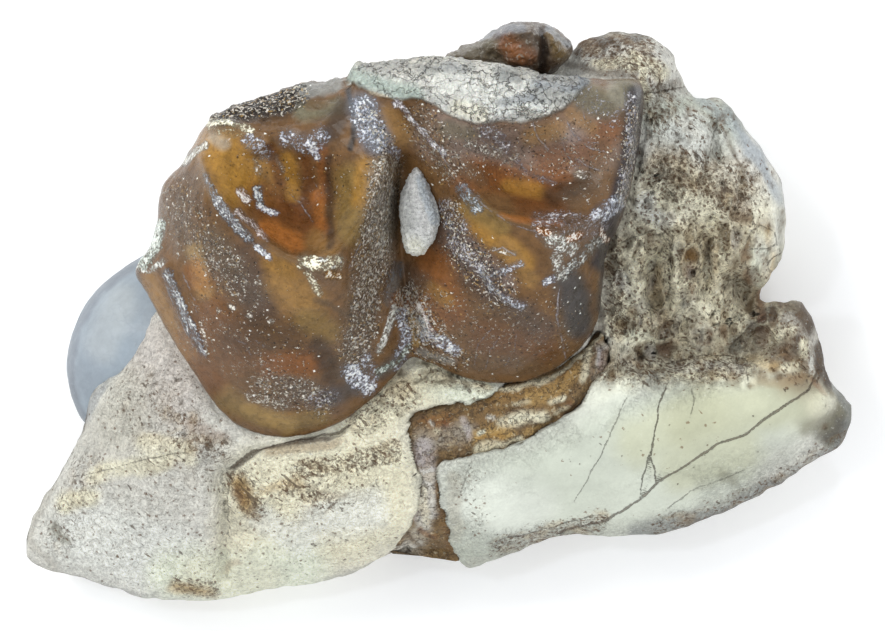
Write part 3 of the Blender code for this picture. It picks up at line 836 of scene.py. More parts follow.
# %% Bone colours
BONE_STAINS = [
    # back edge and left slope
    ("tan", 0.35, 20, [(250, 120), (340, 90), (430, 64)]), ("warm_grey", 0.5, 12, [(200, 150), (300, 104)]),
    ("rust", 0.3, 8, [(300, 98), (400, 70), (500, 70)]),
    ("pink_grey", 0.35, 34, [(150, 350), (175, 390)]), ("cream", 0.2, 24, [(130, 390), (120, 430)]), ("warm_grey", 0.35, 26, [(100, 440), (150, 410)]),
    ("cream", 0.8, 9, [(96, 474), (130, 467), (165, 462)]), ("bone_white", 0.8, 36, [(84, 535), (160, 560)]),
    ("warm_grey", 0.5, 4, [(52, 486), (26, 543), (58, 570)]),
    ("cream", 0.9, 9, [(64, 504), (90, 496)]), ("olive_grey", 0.6, 5, [(54, 528), (66, 540)]),
    ("ochre", 0.3, 6, [(150, 440), (190, 446)]), ("grey", 0.4, 3, [(60, 576), (120, 592), (180, 602)]),
    ("cream", 0.7, 11, [(150, 446), (185, 452)]), ("rust", 0.4, 7, [(190, 424), (222, 436)]),
    ("blue_grey", 0.5, 4, [(142, 318), (124, 352), (104, 384), (84, 420)]),
    # cream plate under the molar
    ("cream", 1.0, 46, [(270, 490), (330, 480), (375, 470)]), ("cream", 0.95, 40, [(255, 545), (350, 530), (380, 510)]),
    ("cream_white", 1.0, 26, [(175, 576), (240, 578), (300, 570)]), ("cream", 0.4, 20, [(200, 576), (260, 578)]), ("ochre", 0.5, 5, [(170, 590), (190, 590), (210, 594)]), ("golden", 0.3, 4, [(226, 568), (238, 560)]),
    ("bone_white", 0.7, 20, [(320, 520), (370, 510)]), ("bone_white", 0.6, 14, [(262, 520), (300, 540)]),
    ("ochre", 0.8, 8, [(240, 482), (250, 508)]), ("golden", 0.5, 5, [(238, 486), (248, 504)]), ("rust", 0.4, 3, [(236, 488), (244, 506)]), ("ochre", 0.45, 5, [(262, 490), (300, 482)]),
    ("ochre", 0.4, 4, [(172, 584), (206, 588)]), ("rust", 0.3, 2, [(306, 484), (344, 498)]),
    ("tan", 0.5, 5, [(268, 452), (300, 448), (340, 440)]), ("warm_grey", 0.3, 10, [(230, 530), (260, 524)]),
    ("dark_brown", 0.8, 2.2, [(232, 467), (262, 449), (300, 442), (346, 431)]),
    ("grey", 0.35, 5, [(300, 592), (392, 560)]),
    # strip between the lobes and the vein
    ("cream", 1.0, 26, [(365, 424), (400, 395), (430, 385)]), ("cream_white", 1.0, 18, [(430, 378), (480, 390)]),
    ("ochre", 0.35, 14, [(400, 385), (440, 372)]),
    # right plate
    ("ivory", 1.0, 54, [(490, 500), (560, 475), (620, 440), (680, 420), (760, 405)]),
    ("ivory", 0.9, 40, [(480, 540), (580, 505), (660, 500), (720, 470)]), ("old_ivory", 0.8, 26, [(690, 424), (740, 410), (800, 400)]),
    ("ivory", 0.9, 22, [(464, 490), (470, 545), (500, 545)]), ("bone_white", 0.3, 34, [(470, 500), (520, 515)]), ("cream_white", 0.4, 14, [(590, 388), (620, 380)]),
    ("old_ivory", 0.7, 22, [(680, 470), (740, 452)]), ("olive_grey", 0.3, 14, [(812, 420), (838, 422)]),
    # The grey and slate strokes along the lower edge are painted shade where the bone's side rolls away.
    ("olive_grey", 0.6, 9, [(806, 430), (846, 414)]), ("grey", 0.8, 11, [(640, 534), (720, 516), (780, 490), (846, 444)]),
    ("slate", 0.5, 5, [(690, 526), (760, 504), (828, 460)]), ("olive_grey", 0.5, 5, [(722, 474), (736, 482)]),
    ("warm_grey", 0.3, 6, [(470, 566), (560, 540)]), ("tan", 0.2, 8, [(452, 480), (458, 530)]),
    ("old_ivory", 0.7, 26, [(640, 440), (700, 408)]), ("warm_grey", 0.35, 6, [(500, 545), (600, 520)]),
    # mottled step between plate and sponge
    ("cream", 0.8, 2.5, [(430, 366), (455, 380), (488, 388)]), ("tan", 0.5, 6, [(612, 350), (616, 372)]),
    ("lilac", 0.5, 5, [(622, 358), (634, 364)]), ("cream", 0.6, 4, [(650, 366), (690, 368)]),
    ("pit_brown", 0.4, 9, [(606, 368), (650, 366), (700, 364), (760, 366)]),
    ("grey", 0.3, 8, [(680, 345), (720, 352)]), ("rust", 0.4, 7, [(625, 356), (648, 350)]),
    ("cream", 0.8, 5, [(672, 372), (700, 376), (730, 372)]),
    # sponge
    ("cream", 0.9, 60, [(680, 220), (720, 250)]), ("ivory", 0.95, 26, [(664, 112), (716, 126)]), ("bone_white", 0.7, 14, [(676, 130), (700, 150)]),
    ("cream", 0.8, 44, [(650, 270), (720, 290)]), ("tan", 0.4, 30, [(690, 280), (740, 290)]), ("cream", 0.9, 34, [(640, 320), (720, 330)]),
    ("olive_grey", 0.5, 5, [(716, 126), (708, 156)]), ("umber", 0.6, 3, [(724, 138), (742, 168), (744, 186)]),
    ("ochre", 0.2, 14, [(660, 160), (700, 176), (730, 190)]), ("pit_brown", 0.4, 6, [(666, 180), (730, 196)]),
    ("brown", 0.6, 7, [(646, 236), (668, 244)]), 
    ("rust", 0.4, 10, [(652, 286), (664, 318)]), ("ochre", 0.4, 18, [(696, 246), (738, 236)]), ("tan", 0.45, 14, [(640, 328), (690, 336)]), ("pit_brown", 0.45, 18, [(738, 250), (750, 292)]), ("ochre", 0.5, 7, [(656, 290), (662, 320)]),
    ("tan", 0.9, 5, [(660, 270), (656, 300)]), ("grey_beige", 0.9, 8, [(622, 280), (640, 306)]),
    ("tan", 0.9, 6, [(689, 254), (691, 274)]), ("rust", 0.6, 4, [(690, 268), (686, 276)]),
    ("cream", 0.95, 2.5, [(676, 246), (675, 290)]), ("slate", 0.7, 2.5, [(706, 243), (707, 278)]),
    ("cream", 0.95, 4, [(718, 244), (722, 268)]), ("umber", 0.6, 2.5, [(711, 242), (712, 280)]), ("tan", 0.5, 16, [(750, 296), (734, 330)]), ("ochre", 0.5, 3, [(714, 246), (716, 272)]),
    ("cream_white", 0.95, 5, [(752, 250), (768, 252)]), ("cream_white", 0.95, 5, [(755, 262), (756, 282)]),
    ("cream", 0.9, 6, [(756, 232), (760, 242)]), ("ochre", 0.6, 4, [(768, 232), (770, 246)]),
    ("umber", 0.8, 8, [(728, 284), (742, 294)]), ("ochre", 0.6, 4, [(774, 254), (772, 276)]),
    ("warm_grey", 0.9, 12, [(696, 306), (706, 340)]), ("cream_white", 0.8, 6, [(626, 336), (650, 342)]),
    ("umber", 0.7, 5, [(618, 322), (636, 325)]), ("umber", 0.8, 6, [(640, 350), (680, 352), (736, 350)]), ("grey_beige", 0.8, 6, [(672, 366), (742, 366)]),
    ("cream", 0.8, 8, [(722, 310), (744, 322)]), ("rust", 0.4, 6, [(660, 322), (672, 342)]),
    ("cream", 0.8, 5, [(640, 262), (634, 300)]), ("cream", 0.7, 5, [(676, 262), (672, 310)]),
    ("cream", 0.7, 6, [(700, 300), (714, 322)]), ("bone_white", 0.5, 7, [(774, 190), (778, 250)]), ("olive_grey", 0.5, 4, [(779, 214), (781, 262), (770, 290)]),
    ("blue_grey", 0.45, 5, [(726, 110), (756, 150), (780, 205)]), ("pale_blue", 0.4, 6, [(700, 102), (752, 146), (782, 200)]),
    ("bone_white", 0.6, 10, [(690, 120), (716, 140)]), ("bone_white", 0.7, 8, [(640, 210), (668, 222)]),
    ("bone_white", 0.7, 7, [(640, 205), (650, 200)]), ("cream", 0.6, 8, [(610, 330), (624, 300)]),
    # top bump
    ("grey_beige", 0.9, 24, [(600, 55), (640, 55), (665, 75)]), ("cream", 0.9, 4, [(632, 56), (640, 74), (646, 98)]),
    ("slate", 0.6, 6, [(575, 50), (600, 40), (640, 37)]), ("cream", 0.8, 8, [(600, 66), (646, 64), (660, 74)]),
    ("warm_grey", 0.6, 3, [(640, 94), (682, 88)]), ("umber", 0.6, 4, [(566, 62), (600, 76), (630, 76)]),
    # knob and tip
    ("pit_brown", 0.75, 26, [(780, 340), (800, 370)]), ("umber", 0.95, 9, [(776, 307), (800, 306), (808, 324)]),
    ("slate", 1.0, 7, [(770, 314), (748, 331), (728, 350)]), ("warm_grey", 0.6, 4, [(744, 340), (732, 352)]), ("cream", 0.9, 6, [(772, 338), (788, 331)]),
    ("cream", 0.9, 4, [(804, 342), (804, 354)]), ("cream", 0.8, 4, [(780, 367), (796, 368)]),
    ("ochre", 0.7, 6, [(754, 356), (772, 362)]), ("brown", 0.7, 4, [(786, 350), (790, 360)]),
    ("brown", 0.7, 3, [(764, 348), (772, 356)]), ("dark_brown", 0.5, 3, [(796, 336), (797, 352)]),
    ("bone_white", 0.6, 3.5, [(811, 342), (814, 368)]), ("dark_brown", 0.9, 5, [(820, 346), (826, 376), (829, 392)]), ("rust", 0.5, 3, [(815, 378), (821, 396)]),
    ("tan", 0.35, 6, [(756, 380), (780, 382), (800, 376)]),
    # The slate stroke along the tip's lower edge is painted shade.
    ("cream", 0.3, 12, [(818, 404), (834, 400)]), ("olive_grey", 0.8, 11, [(844, 400), (848, 416), (830, 436)]), ("slate", 0.6, 5, [(846, 424), (826, 438)]), ("grey", 0.7, 5, [(836, 384), (852, 414), (840, 444)]),
]
SPECK_AREAS = [
    (0.36, 60, [(660, 240), (720, 280)]), (0.36, 40, [(640, 330), (740, 340)]), (0.5, 34, [(670, 176), (735, 190)]),
    (0.36, 22, [(660, 120), (715, 125)]), (0.62, 22, [(590, 48), (640, 56)]), (0.5, 20, [(650, 80), (665, 120)]),
    (0.52, 18, [(360, 420), (405, 396)]), (0.42, 12, [(430, 372), (480, 384)]), (0.34, 40, [(250, 500), (350, 480)]),
    (0.66, 12, [(300, 470), (350, 462), (390, 450)]), (0.6, 10, [(290, 488), (330, 504)]),
    (0.6, 15, [(238, 482), (258, 510)]), (0.56, 9, [(176, 588), (214, 590)]), (0.34, 50, [(150, 400), (180, 460)]),
    (0.55, 8, [(168, 412), (196, 421)]), (0.26, 60, [(100, 520), (200, 540)]), (0.55, 16, [(600, 370), (740, 368)]),
    (0.4, 30, [(780, 330), (805, 360)]), (0.2, 30, [(300, 540), (370, 540)]), (0.16, 20, [(560, 450), (700, 440)]),
    (0.55, 12, [(500, 548), (600, 520)]), (0.55, 14, [(610, 240), (618, 330)]), (0.55, 14, [(180, 440), (220, 450)]),
    (0.3, 16, [(465, 475), (480, 520)]), (0.45, 12, [(660, 530), (720, 514), (800, 472), (846, 440)]), (0.4, 20, [(90, 470), (60, 540)]),
]

PORE_AREAS = [
    (0.4, 18, [(664, 112), (712, 124)]), (0.9, 26, [(650, 172), (735, 186)]), (0.85, 24, [(640, 215), (720, 222)]),
    (0.7, 26, [(622, 262), (632, 320)]), (0.5, 30, [(680, 262), (730, 300)]), (0.5, 12, [(650, 330), (690, 340)]),
    (0.6, 9, [(672, 368), (740, 366)]), (0.5, 10, [(612, 366), (650, 360)]), (0.4, 14, [(780, 345), (800, 356)]),
    (0.5, 16, [(590, 48), (650, 60)]), (0.5, 22, [(786, 330), (796, 368)]),
]
POLISHED_AREAS = [
    (0.96, 40, [(560, 480), (640, 446), (700, 432), (790, 404)]), (0.9, 22, [(500, 510), (600, 505), (680, 490)]),
    (0.8, 22, [(480, 500), (520, 480)]), (0.8, 20, [(590, 420), (612, 395)]), (0.4, 16, [(660, 525), (740, 505)]),
    (0.3, 14, [(826, 402), (840, 408)]), (0.35, 20, [(670, 112), (730, 130), (760, 170)]),
    (0.5, 14, [(700, 312), (712, 345)]), (0.4, 8, [(624, 338), (650, 340)]), (0.35, 16, [(768, 200), (770, 260)]),
]

# %% Bone material
FIBRE_ANGLE = 1.1  # radians, the bone's grain lies a little off the picture's upright
bone_look, tree, shader = new_look("bone_surface", 0.72)
grain = add_group(tree, GRAIN, Waves=9000.0)
lumps = add_group(tree, GRAIN, Waves=3200.0)
fibres = add_noise(tree, stretched(tree, FIBRE_ANGLE, 6.0), 6500.0, 4.0, 0.6)
speck_density = read_value(tree, "speck_density")
polish = read_value(tree, "polish")
specks = add_group(tree, SPECKS, Waves=5200.0, Density=speck_density)
fine_specks = add_group(tree, SPECKS, Waves=11000.0, Density=speck_density)
pale_specks = add_group(tree, SPECKS, Waves=8000.0, Density=0.32)
wrinkles = add_group(tree, WRINKLES, Waves=2100.0, Width=0.012)
net = add_group(tree, WRINKLES, Waves=2700.0, Width=0.045)
flakes = add_group(tree, FLAKES, Waves=1500.0, Width=0.035)
ticks = add_group(tree, TICKS, Waves=6000.0, Density=speck_density)
dashes = add_group(tree, TICKS, Waves=3300.0, Density=speck_density)
dots = add_group(tree, DOTS, Waves=5600.0, Density=add_math(tree, "MULTIPLY", speck_density, 0.5))
pores = add_group(tree, DOTS, Waves=5000.0, Density=read_value(tree, "pores"))
warmth = add_noise(tree, tree.nodes.new("ShaderNodeTexCoord").outputs["Object"], 1100.0, 5.0, 0.6)
warmth = add_math(tree, "MULTIPLY", add_band(tree, warmth, 0.46, 0.62), add_band(tree, speck_density, 0.2, 0.6))
rough_part = add_math(tree, "SUBTRACT", 1.0, polish)
wrinkle = add_math(tree, "MULTIPLY", wrinkles.outputs["Line"],
                   add_math(tree, "MULTIPLY_ADD", speck_density, 0.5, 0.2))
wrinkle = add_math(tree, "MULTIPLY", wrinkle, rough_part)
flake_line = add_math(tree, "MULTIPLY", flakes.outputs["Line"],
                      add_band(tree, lumps.outputs["Fine"], 0.46, 0.6))
flake_line = add_math(tree, "MULTIPLY", flake_line, rough_part)
crack_side = add_math(tree, "ABSOLUTE", read_value(tree, "crack_side"))
crack_strength = read_value(tree, "crack_strength")
ragged = add_math(tree, "MULTIPLY_ADD", grain.outputs["Fine"], 5.0, -2.3)
crack_reach = add_math(tree, "MULTIPLY_ADD", crack_strength, -1.1,
                       add_math(tree, "ADD", crack_side, ragged))
crack_line = add_math(tree, "MULTIPLY", add_band(tree, crack_reach, 0.6, -0.5),
                      add_band(tree, crack_strength, 0.04, 0.6))
hollow = read_value(tree, "hollow")
plain = shaded(tree, read_value(tree, "stain", "Color"), lumps.outputs["Cloud"], 0.88, 1.12)
colour = shaded(tree, plain, grain.outputs["Fine"], 0.74, 1.4)
colour = shaded(tree, colour, lumps.outputs["Fine"], 0.84, 1.22)
colour = shaded(tree, colour, fibres, 0.86, 1.14)
colour = add_mix(tree, add_math(tree, "MULTIPLY", pale_specks.outputs["Mask"], 0.6), colour,
                 PALETTE["bone_white"])
colour = add_mix(tree, add_math(tree, "MULTIPLY", polish, 0.9), colour, plain)
netted = add_math(tree, "MULTIPLY", add_math(tree, "MULTIPLY", net.outputs["Line"], speck_density), rough_part)
for mask, strength, name in (
        (warmth, 0.36, "ochre"), (hollow, 0.6, "brown"), (ticks.outputs["Mask"], 0.8, "brown"),
        (dots.outputs["Mask"], 0.7, "brown"), (pores.outputs["Mask"], 0.75, "brown"),
        (dashes.outputs["Mask"], 0.75, "umber"), (netted, 0.6, "brown"),
        (specks.outputs["Mask"], 0.6, "brown"), (fine_specks.outputs["Mask"], 0.55, "brown"),
        (wrinkle, 0.7, "pit_brown"), (flake_line, 0.35, "pit_brown"), (crack_line, 0.7, "umber")):
    colour = add_mix(tree, add_math(tree, "MULTIPLY", mask, strength), colour, PALETTE[name])
tree.links.new(colour, shader.inputs["Base Color"])
raised = add_math(tree, "MULTIPLY_ADD", lumps.outputs["Fine"], 0.9, grain.outputs["Fine"])
raised = add_math(tree, "MULTIPLY", raised, rough_part)
for mask, depth in ((specks.outputs["Mask"], 0.5), (netted, 0.8), (dashes.outputs["Mask"], 0.5), (pores.outputs["Mask"], 0.6),
                    (crack_line, 0.7), (wrinkle, 0.8)):
    raised = add_math(tree, "MULTIPLY_ADD", mask, -depth, raised)
add_bump(tree, shader, raised, 0.0002)
print("bone material:", len(tree.nodes), "nodes")

# %% Bone piece
bone_top_map = spot_surface(BONE_SPOTS)
bone_rim_map = spot_surface(BONE_RIM)
CELL_RELIEF = 0.34  # millimetres from a cell's floor to its ridge


def bone_top(x, y):
    """The map, its relief, the sponge's cells, the vein's trench and the pits, in millimetres."""
    height = bone_top_map(x, y) + relief(x, y, BONE_RELIEF) + relief(x, y, BONE_FINE_RELIEF)
    depth_inside, _ = cell_pattern(x, y, bone_cells)
    zone = covered(x, y, 0 * x, CELL_ZONE, 3)
    height -= CELL_RELIEF * zone * (1 - np.exp(-((depth_inside / 5) ** 2)))
    bent = 2.5 * lump_noise(x, y, 0 * x, 9, 4)
    trench = np.clip((inside_distance(x + bent, y - bent, VEIN_OUTLINE) + 0.5) / 3, 0, 1)
    return height - TRENCH_DEPTH * trench - PIT_DEPTH * hollows(x, y, bone_pits)


SPONGE = [(1.0, 70, [(680, 190), (690, 290)]), (1.0, 40, [(740, 230), (770, 345)]),
          (0.7, 30, [(600, 50), (650, 60)])]
BONE_RINGS = (124, 22, 4)  # rings on top, down the side and under the floor
BONE_EDGE = 8  # power of the roll towards the rim
x, y, z = lump_grid(BONE_OUTLINE, BONE_CENTRE, bone_top, bone_rim_map, 0, columns=640,
                    rings=BONE_RINGS, floor_share=0.88, edge=BONE_EDGE, bulge=2.3)
level = z * MM / PIXEL
points = row_point(x, y, z)
sponge = covered(x, y, 0 * x, SPONGE, 5)
rough = 0.13 * layered_noise(x, y, level, 40, 31) + 0.08 * layered_noise(x, y, level, 13, 41, 2)
rough += 0.16 * sponge * layered_noise(x, y, level, 14, 51, 2)
rough *= 1 - 0.5 * covered(x, y, level, POLISHED_AREAS, 93)
ring = np.arange(len(x))[:, None]
down_side = np.sin(np.clip((ring - BONE_RINGS[0]) / BONE_RINGS[1], 0, 1) * math.pi)
rough -= 0.4 * down_side * (1 + layered_noise(x, y, level, 36, 61))
points += grid_normals(points) * np.where(z < 0.02, 0, rough)[..., None] * MM
stain = painted(x, y, level, "grey_beige", BONE_STAINS, 71)
depth_inside, owner = cell_pattern(x, y, bone_cells)
draw = np.random.default_rng(23)
cell_colour = np.array([PALETTE[name] for name in draw.choice(CELL_COLOURS, len(bone_cells))])
amount = 0.5 * covered(x, y, 0 * x, CELL_ZONE, 3) * (1 - np.exp(-((depth_inside / 4) ** 2)))
stain += (cell_colour[owner] - stain) * amount[..., None]
ridge = 0.5 * covered(x, y, 0 * x, CELL_ZONE, 3) * np.exp(-((depth_inside / 2.5) ** 2))
stain += (PALETTE["cream"] - stain) * ridge[..., None]
bent = 2.5 * lump_noise(x, y, 0 * x, 9, 4)
wall = np.clip((inside_distance(x + bent, y - bent, VEIN_OUTLINE) + 0.5) / 2, 0, 1)
stain += (PALETTE["umber"] - stain) * 0.9 * wall[..., None]
bent = 2 * lump_noise(x, y, level, 12, 81)
crack_side, crack_strength = side_of_cracks(x + bent, y - bent, CRACKS)
lump_mesh("jaw_bone_fossil", points, bone_look, "jaw_bone", {
    "stain": stain, "speck_density": covered(x, y, level, SPECK_AREAS, 91),
    "pores": covered(x, y, level, PORE_AREAS, 95),
    "crack_side": np.clip(crack_side, -12, 12), "crack_strength": crack_strength,
    "hollow": hollows(x, y, bone_pits), "polish": covered(x, y, level, POLISHED_AREAS, 93)})

# %% [markdown]
# ## The molar
# The crown has two lobes, each a V of sharp ridges round a worn hollow, with a steep front face
# that runs down to the bone. The enamel is brown, glossy and a little translucent. White crust
# covers its back edge. The same lump method serves, with more rings, because the ridges are fine.

# %% Molar map
MOLAR_CENTRE = (392, 245)
MOLAR_OUTLINE = [
    (136, 270), (146, 290), (165, 325), (190, 366), (222, 411), (258, 433), (292, 437),
    (333, 426), (368, 401), (396, 374), (411, 358), (428, 362), (452, 373), (488, 382),
    (520, 382), (548, 373), (578, 350), (597, 322), (602, 290), (606, 252), (622, 217),
    (632, 180), (640, 132), (643, 94), (634, 80), (600, 80), (548, 76), (505, 67), (446, 58),
    (400, 61), (356, 67), (344, 79), (300, 86), (258, 100), (222, 112), (206, 126), (184, 163),
    (164, 186), (159, 222), (151, 247),
]
MOLAR_SPOTS = [
    (325, 270, 14.1), (300, 262, 14.0), (346, 262, 13.9), (270, 246, 13.7), (240, 217, 13.5),
    (215, 185, 13.3), (203, 160, 13.0), (357, 235, 13.7), (373, 200, 13.4), (386, 166, 13.1),
    (300, 215, 12.0), (262, 190, 12.0), (332, 192, 12.2), (290, 168, 12.1), (250, 152, 12.2),
    (226, 126, 12.9), (262, 133, 12.7), (310, 140, 12.7), (345, 120, 12.8), (180, 215, 12.1),
    (170, 242, 11.5), (200, 262, 12.4), (242, 282, 13.1), (290, 312, 12.9), (330, 320, 12.7),
    (270, 352, 11.6), (320, 360, 11.4), (220, 332, 11.5), (190, 312, 10.9), (240, 382, 10.4),
    (290, 402, 10.0), (332, 396, 10.1), (147, 272, 10.2), (166, 312, 9.9), (156, 254, 10.8),
    (163, 202, 11.3), (186, 172, 12.0), (290, 100, 12.0), (240, 114, 12.1), (332, 90, 12.4),
    (312, 116, 12.4), (362, 330, 11.2), (352, 382, 9.8), (371, 300, 11.3), (384, 260, 11.6),
    (386, 330, 10.2), (376, 370, 9.4), (402, 160, 12.0), (406, 205, 11.1), (410, 262, 10.8),
    (409, 300, 10.3), (411, 342, 9.5), (560, 246, 13.8), (540, 236, 13.6), (586, 236, 13.4),
    (410, 120, 12.9), (440, 152, 13.1), (470, 192, 13.2), (512, 222, 13.5), (612, 205, 13.2),
    (625, 170, 13.1), (633, 120, 13.0), (630, 90, 12.8), (540, 186, 11.8), (500, 180, 11.9),
    (580, 170, 11.9), (560, 140, 12.2), (480, 142, 12.4), (590, 120, 12.5), (520, 132, 12.3),
    (400, 80, 13.2), (360, 76, 13.0), (450, 80, 13.4), (500, 90, 13.4), (480, 112, 12.9),
    (532, 112, 12.8), (562, 95, 12.9), (450, 232, 12.2), (440, 282, 11.6), (480, 262, 12.5),
    (500, 292, 12.2), (450, 322, 10.9), (500, 332, 11.2), (540, 302, 12.3), (560, 322, 11.6),
    (582, 290, 11.9), (500, 362, 10.0), (550, 350, 10.2), (460, 356, 9.8), (592, 312, 10.8),
    (430, 342, 10.0),
]
MOLAR_RIM = [
    (136, 270, 8.6), (190, 366, 8.4), (292, 437, 8.2), (368, 401, 8.4), (411, 358, 8.6),
    (500, 382, 8.5), (597, 322, 8.6), (606, 252, 8.9), (640, 132, 9.6), (634, 80, 10.2),
    (505, 67, 11.2), (400, 61, 11.4), (300, 86, 10.2), (222, 112, 10.2), (164, 186, 9.4),
    (151, 247, 9.0),
]
MOLAR_RELIEF = [
    ([(204, 160), (240, 216), (285, 252), (326, 268)], 0.3, 15),
    ([(326, 268), (356, 236), (374, 200), (387, 162)], 0.25, 15),
    ([(405, 112), (440, 152), (470, 192), (512, 222), (556, 236)], 0.3, 15),
    ([(556, 236), (612, 206), (628, 168), (637, 98)], 0.3, 15),
    ([(404, 165), (404, 250), (406, 300), (410, 345)], -0.5, 13),
    ([(445, 235), (482, 270), (520, 305)], 0.2, 16),
    ([(172, 270), (188, 308), (202, 345)], 0.2, 14),
    ([(374, 345), (392, 312)], 0.3, 14),
]
MOLAR_FINE_RELIEF = [
    ([(203, 158), (216, 190), (238, 220), (262, 240), (290, 256), (325, 268)], 0.35, 5),
    ([(326, 268), (348, 245), (364, 222), (376, 196), (387, 162)], 0.3, 5),
    ([(402, 108), (420, 130), (440, 156), (468, 196), (500, 216), (530, 226), (556, 236)], 0.35, 5),
    ([(556, 236), (590, 220), (612, 204), (626, 172), (634, 130), (637, 98)], 0.35, 5),
    ([(228, 205), (244, 222), (270, 240)], 0.2, 4),
    ([(485, 268), (494, 286), (502, 300), (522, 306)], 0.3, 5),
    ([(378, 350), (386, 330), (392, 310)], 0.35, 5),
    ([(418, 304), (428, 332)], 0.25, 5),
    ([(394, 320), (398, 348)], -0.2, 5),
    ([(165, 262), (178, 290), (190, 318), (207, 358)], 0.2, 4),
    ([(152, 240), (141, 262), (158, 268)], 0.2, 4),
    ([(400, 165), (396, 200), (400, 250), (408, 300)], -0.4, 6),
    ([(345, 71), (372, 80), (400, 88), (420, 98)], 0.3, 8),
    ([(186, 166), (198, 150), (212, 140)], 0.25, 4),
    ([(200, 126), (226, 121), (256, 128)], 0.25, 4),
    ([(302, 150), (322, 136)], 0.25, 7),
    ([(250, 152), (268, 144)], 0.25, 6),
    ([(558, 262), (566, 280)], -0.15, 7),
    ([(556, 310), (560, 360)], 0.12, 4),
    ([(500, 74), (516, 78)], 0.35, 6),
    ([(522, 112), (544, 112)], 0.3, 5),
    ([(280, 160), (300, 200), (306, 240)], -0.15, 14),
    ([(500, 150), (520, 190)], -0.15, 16),
]
CRUST_OUTLINE = [
    (338, 50), (343, 70), (352, 86), (374, 93), (400, 103), (421, 101), (440, 111), (455, 119), (476, 125),
    (505, 122), (520, 125), (545, 119), (562, 112), (572, 102), (580, 92), (590, 84), (590, 60), (560, 40),
    (400, 36),
]
BROKEN_OUTLINE = [
    (192, 124), (208, 123), (232, 120), (252, 129), (276, 131), (298, 126), (322, 123), (340, 108),
    (350, 88), (340, 66), (250, 70), (190, 100),
]
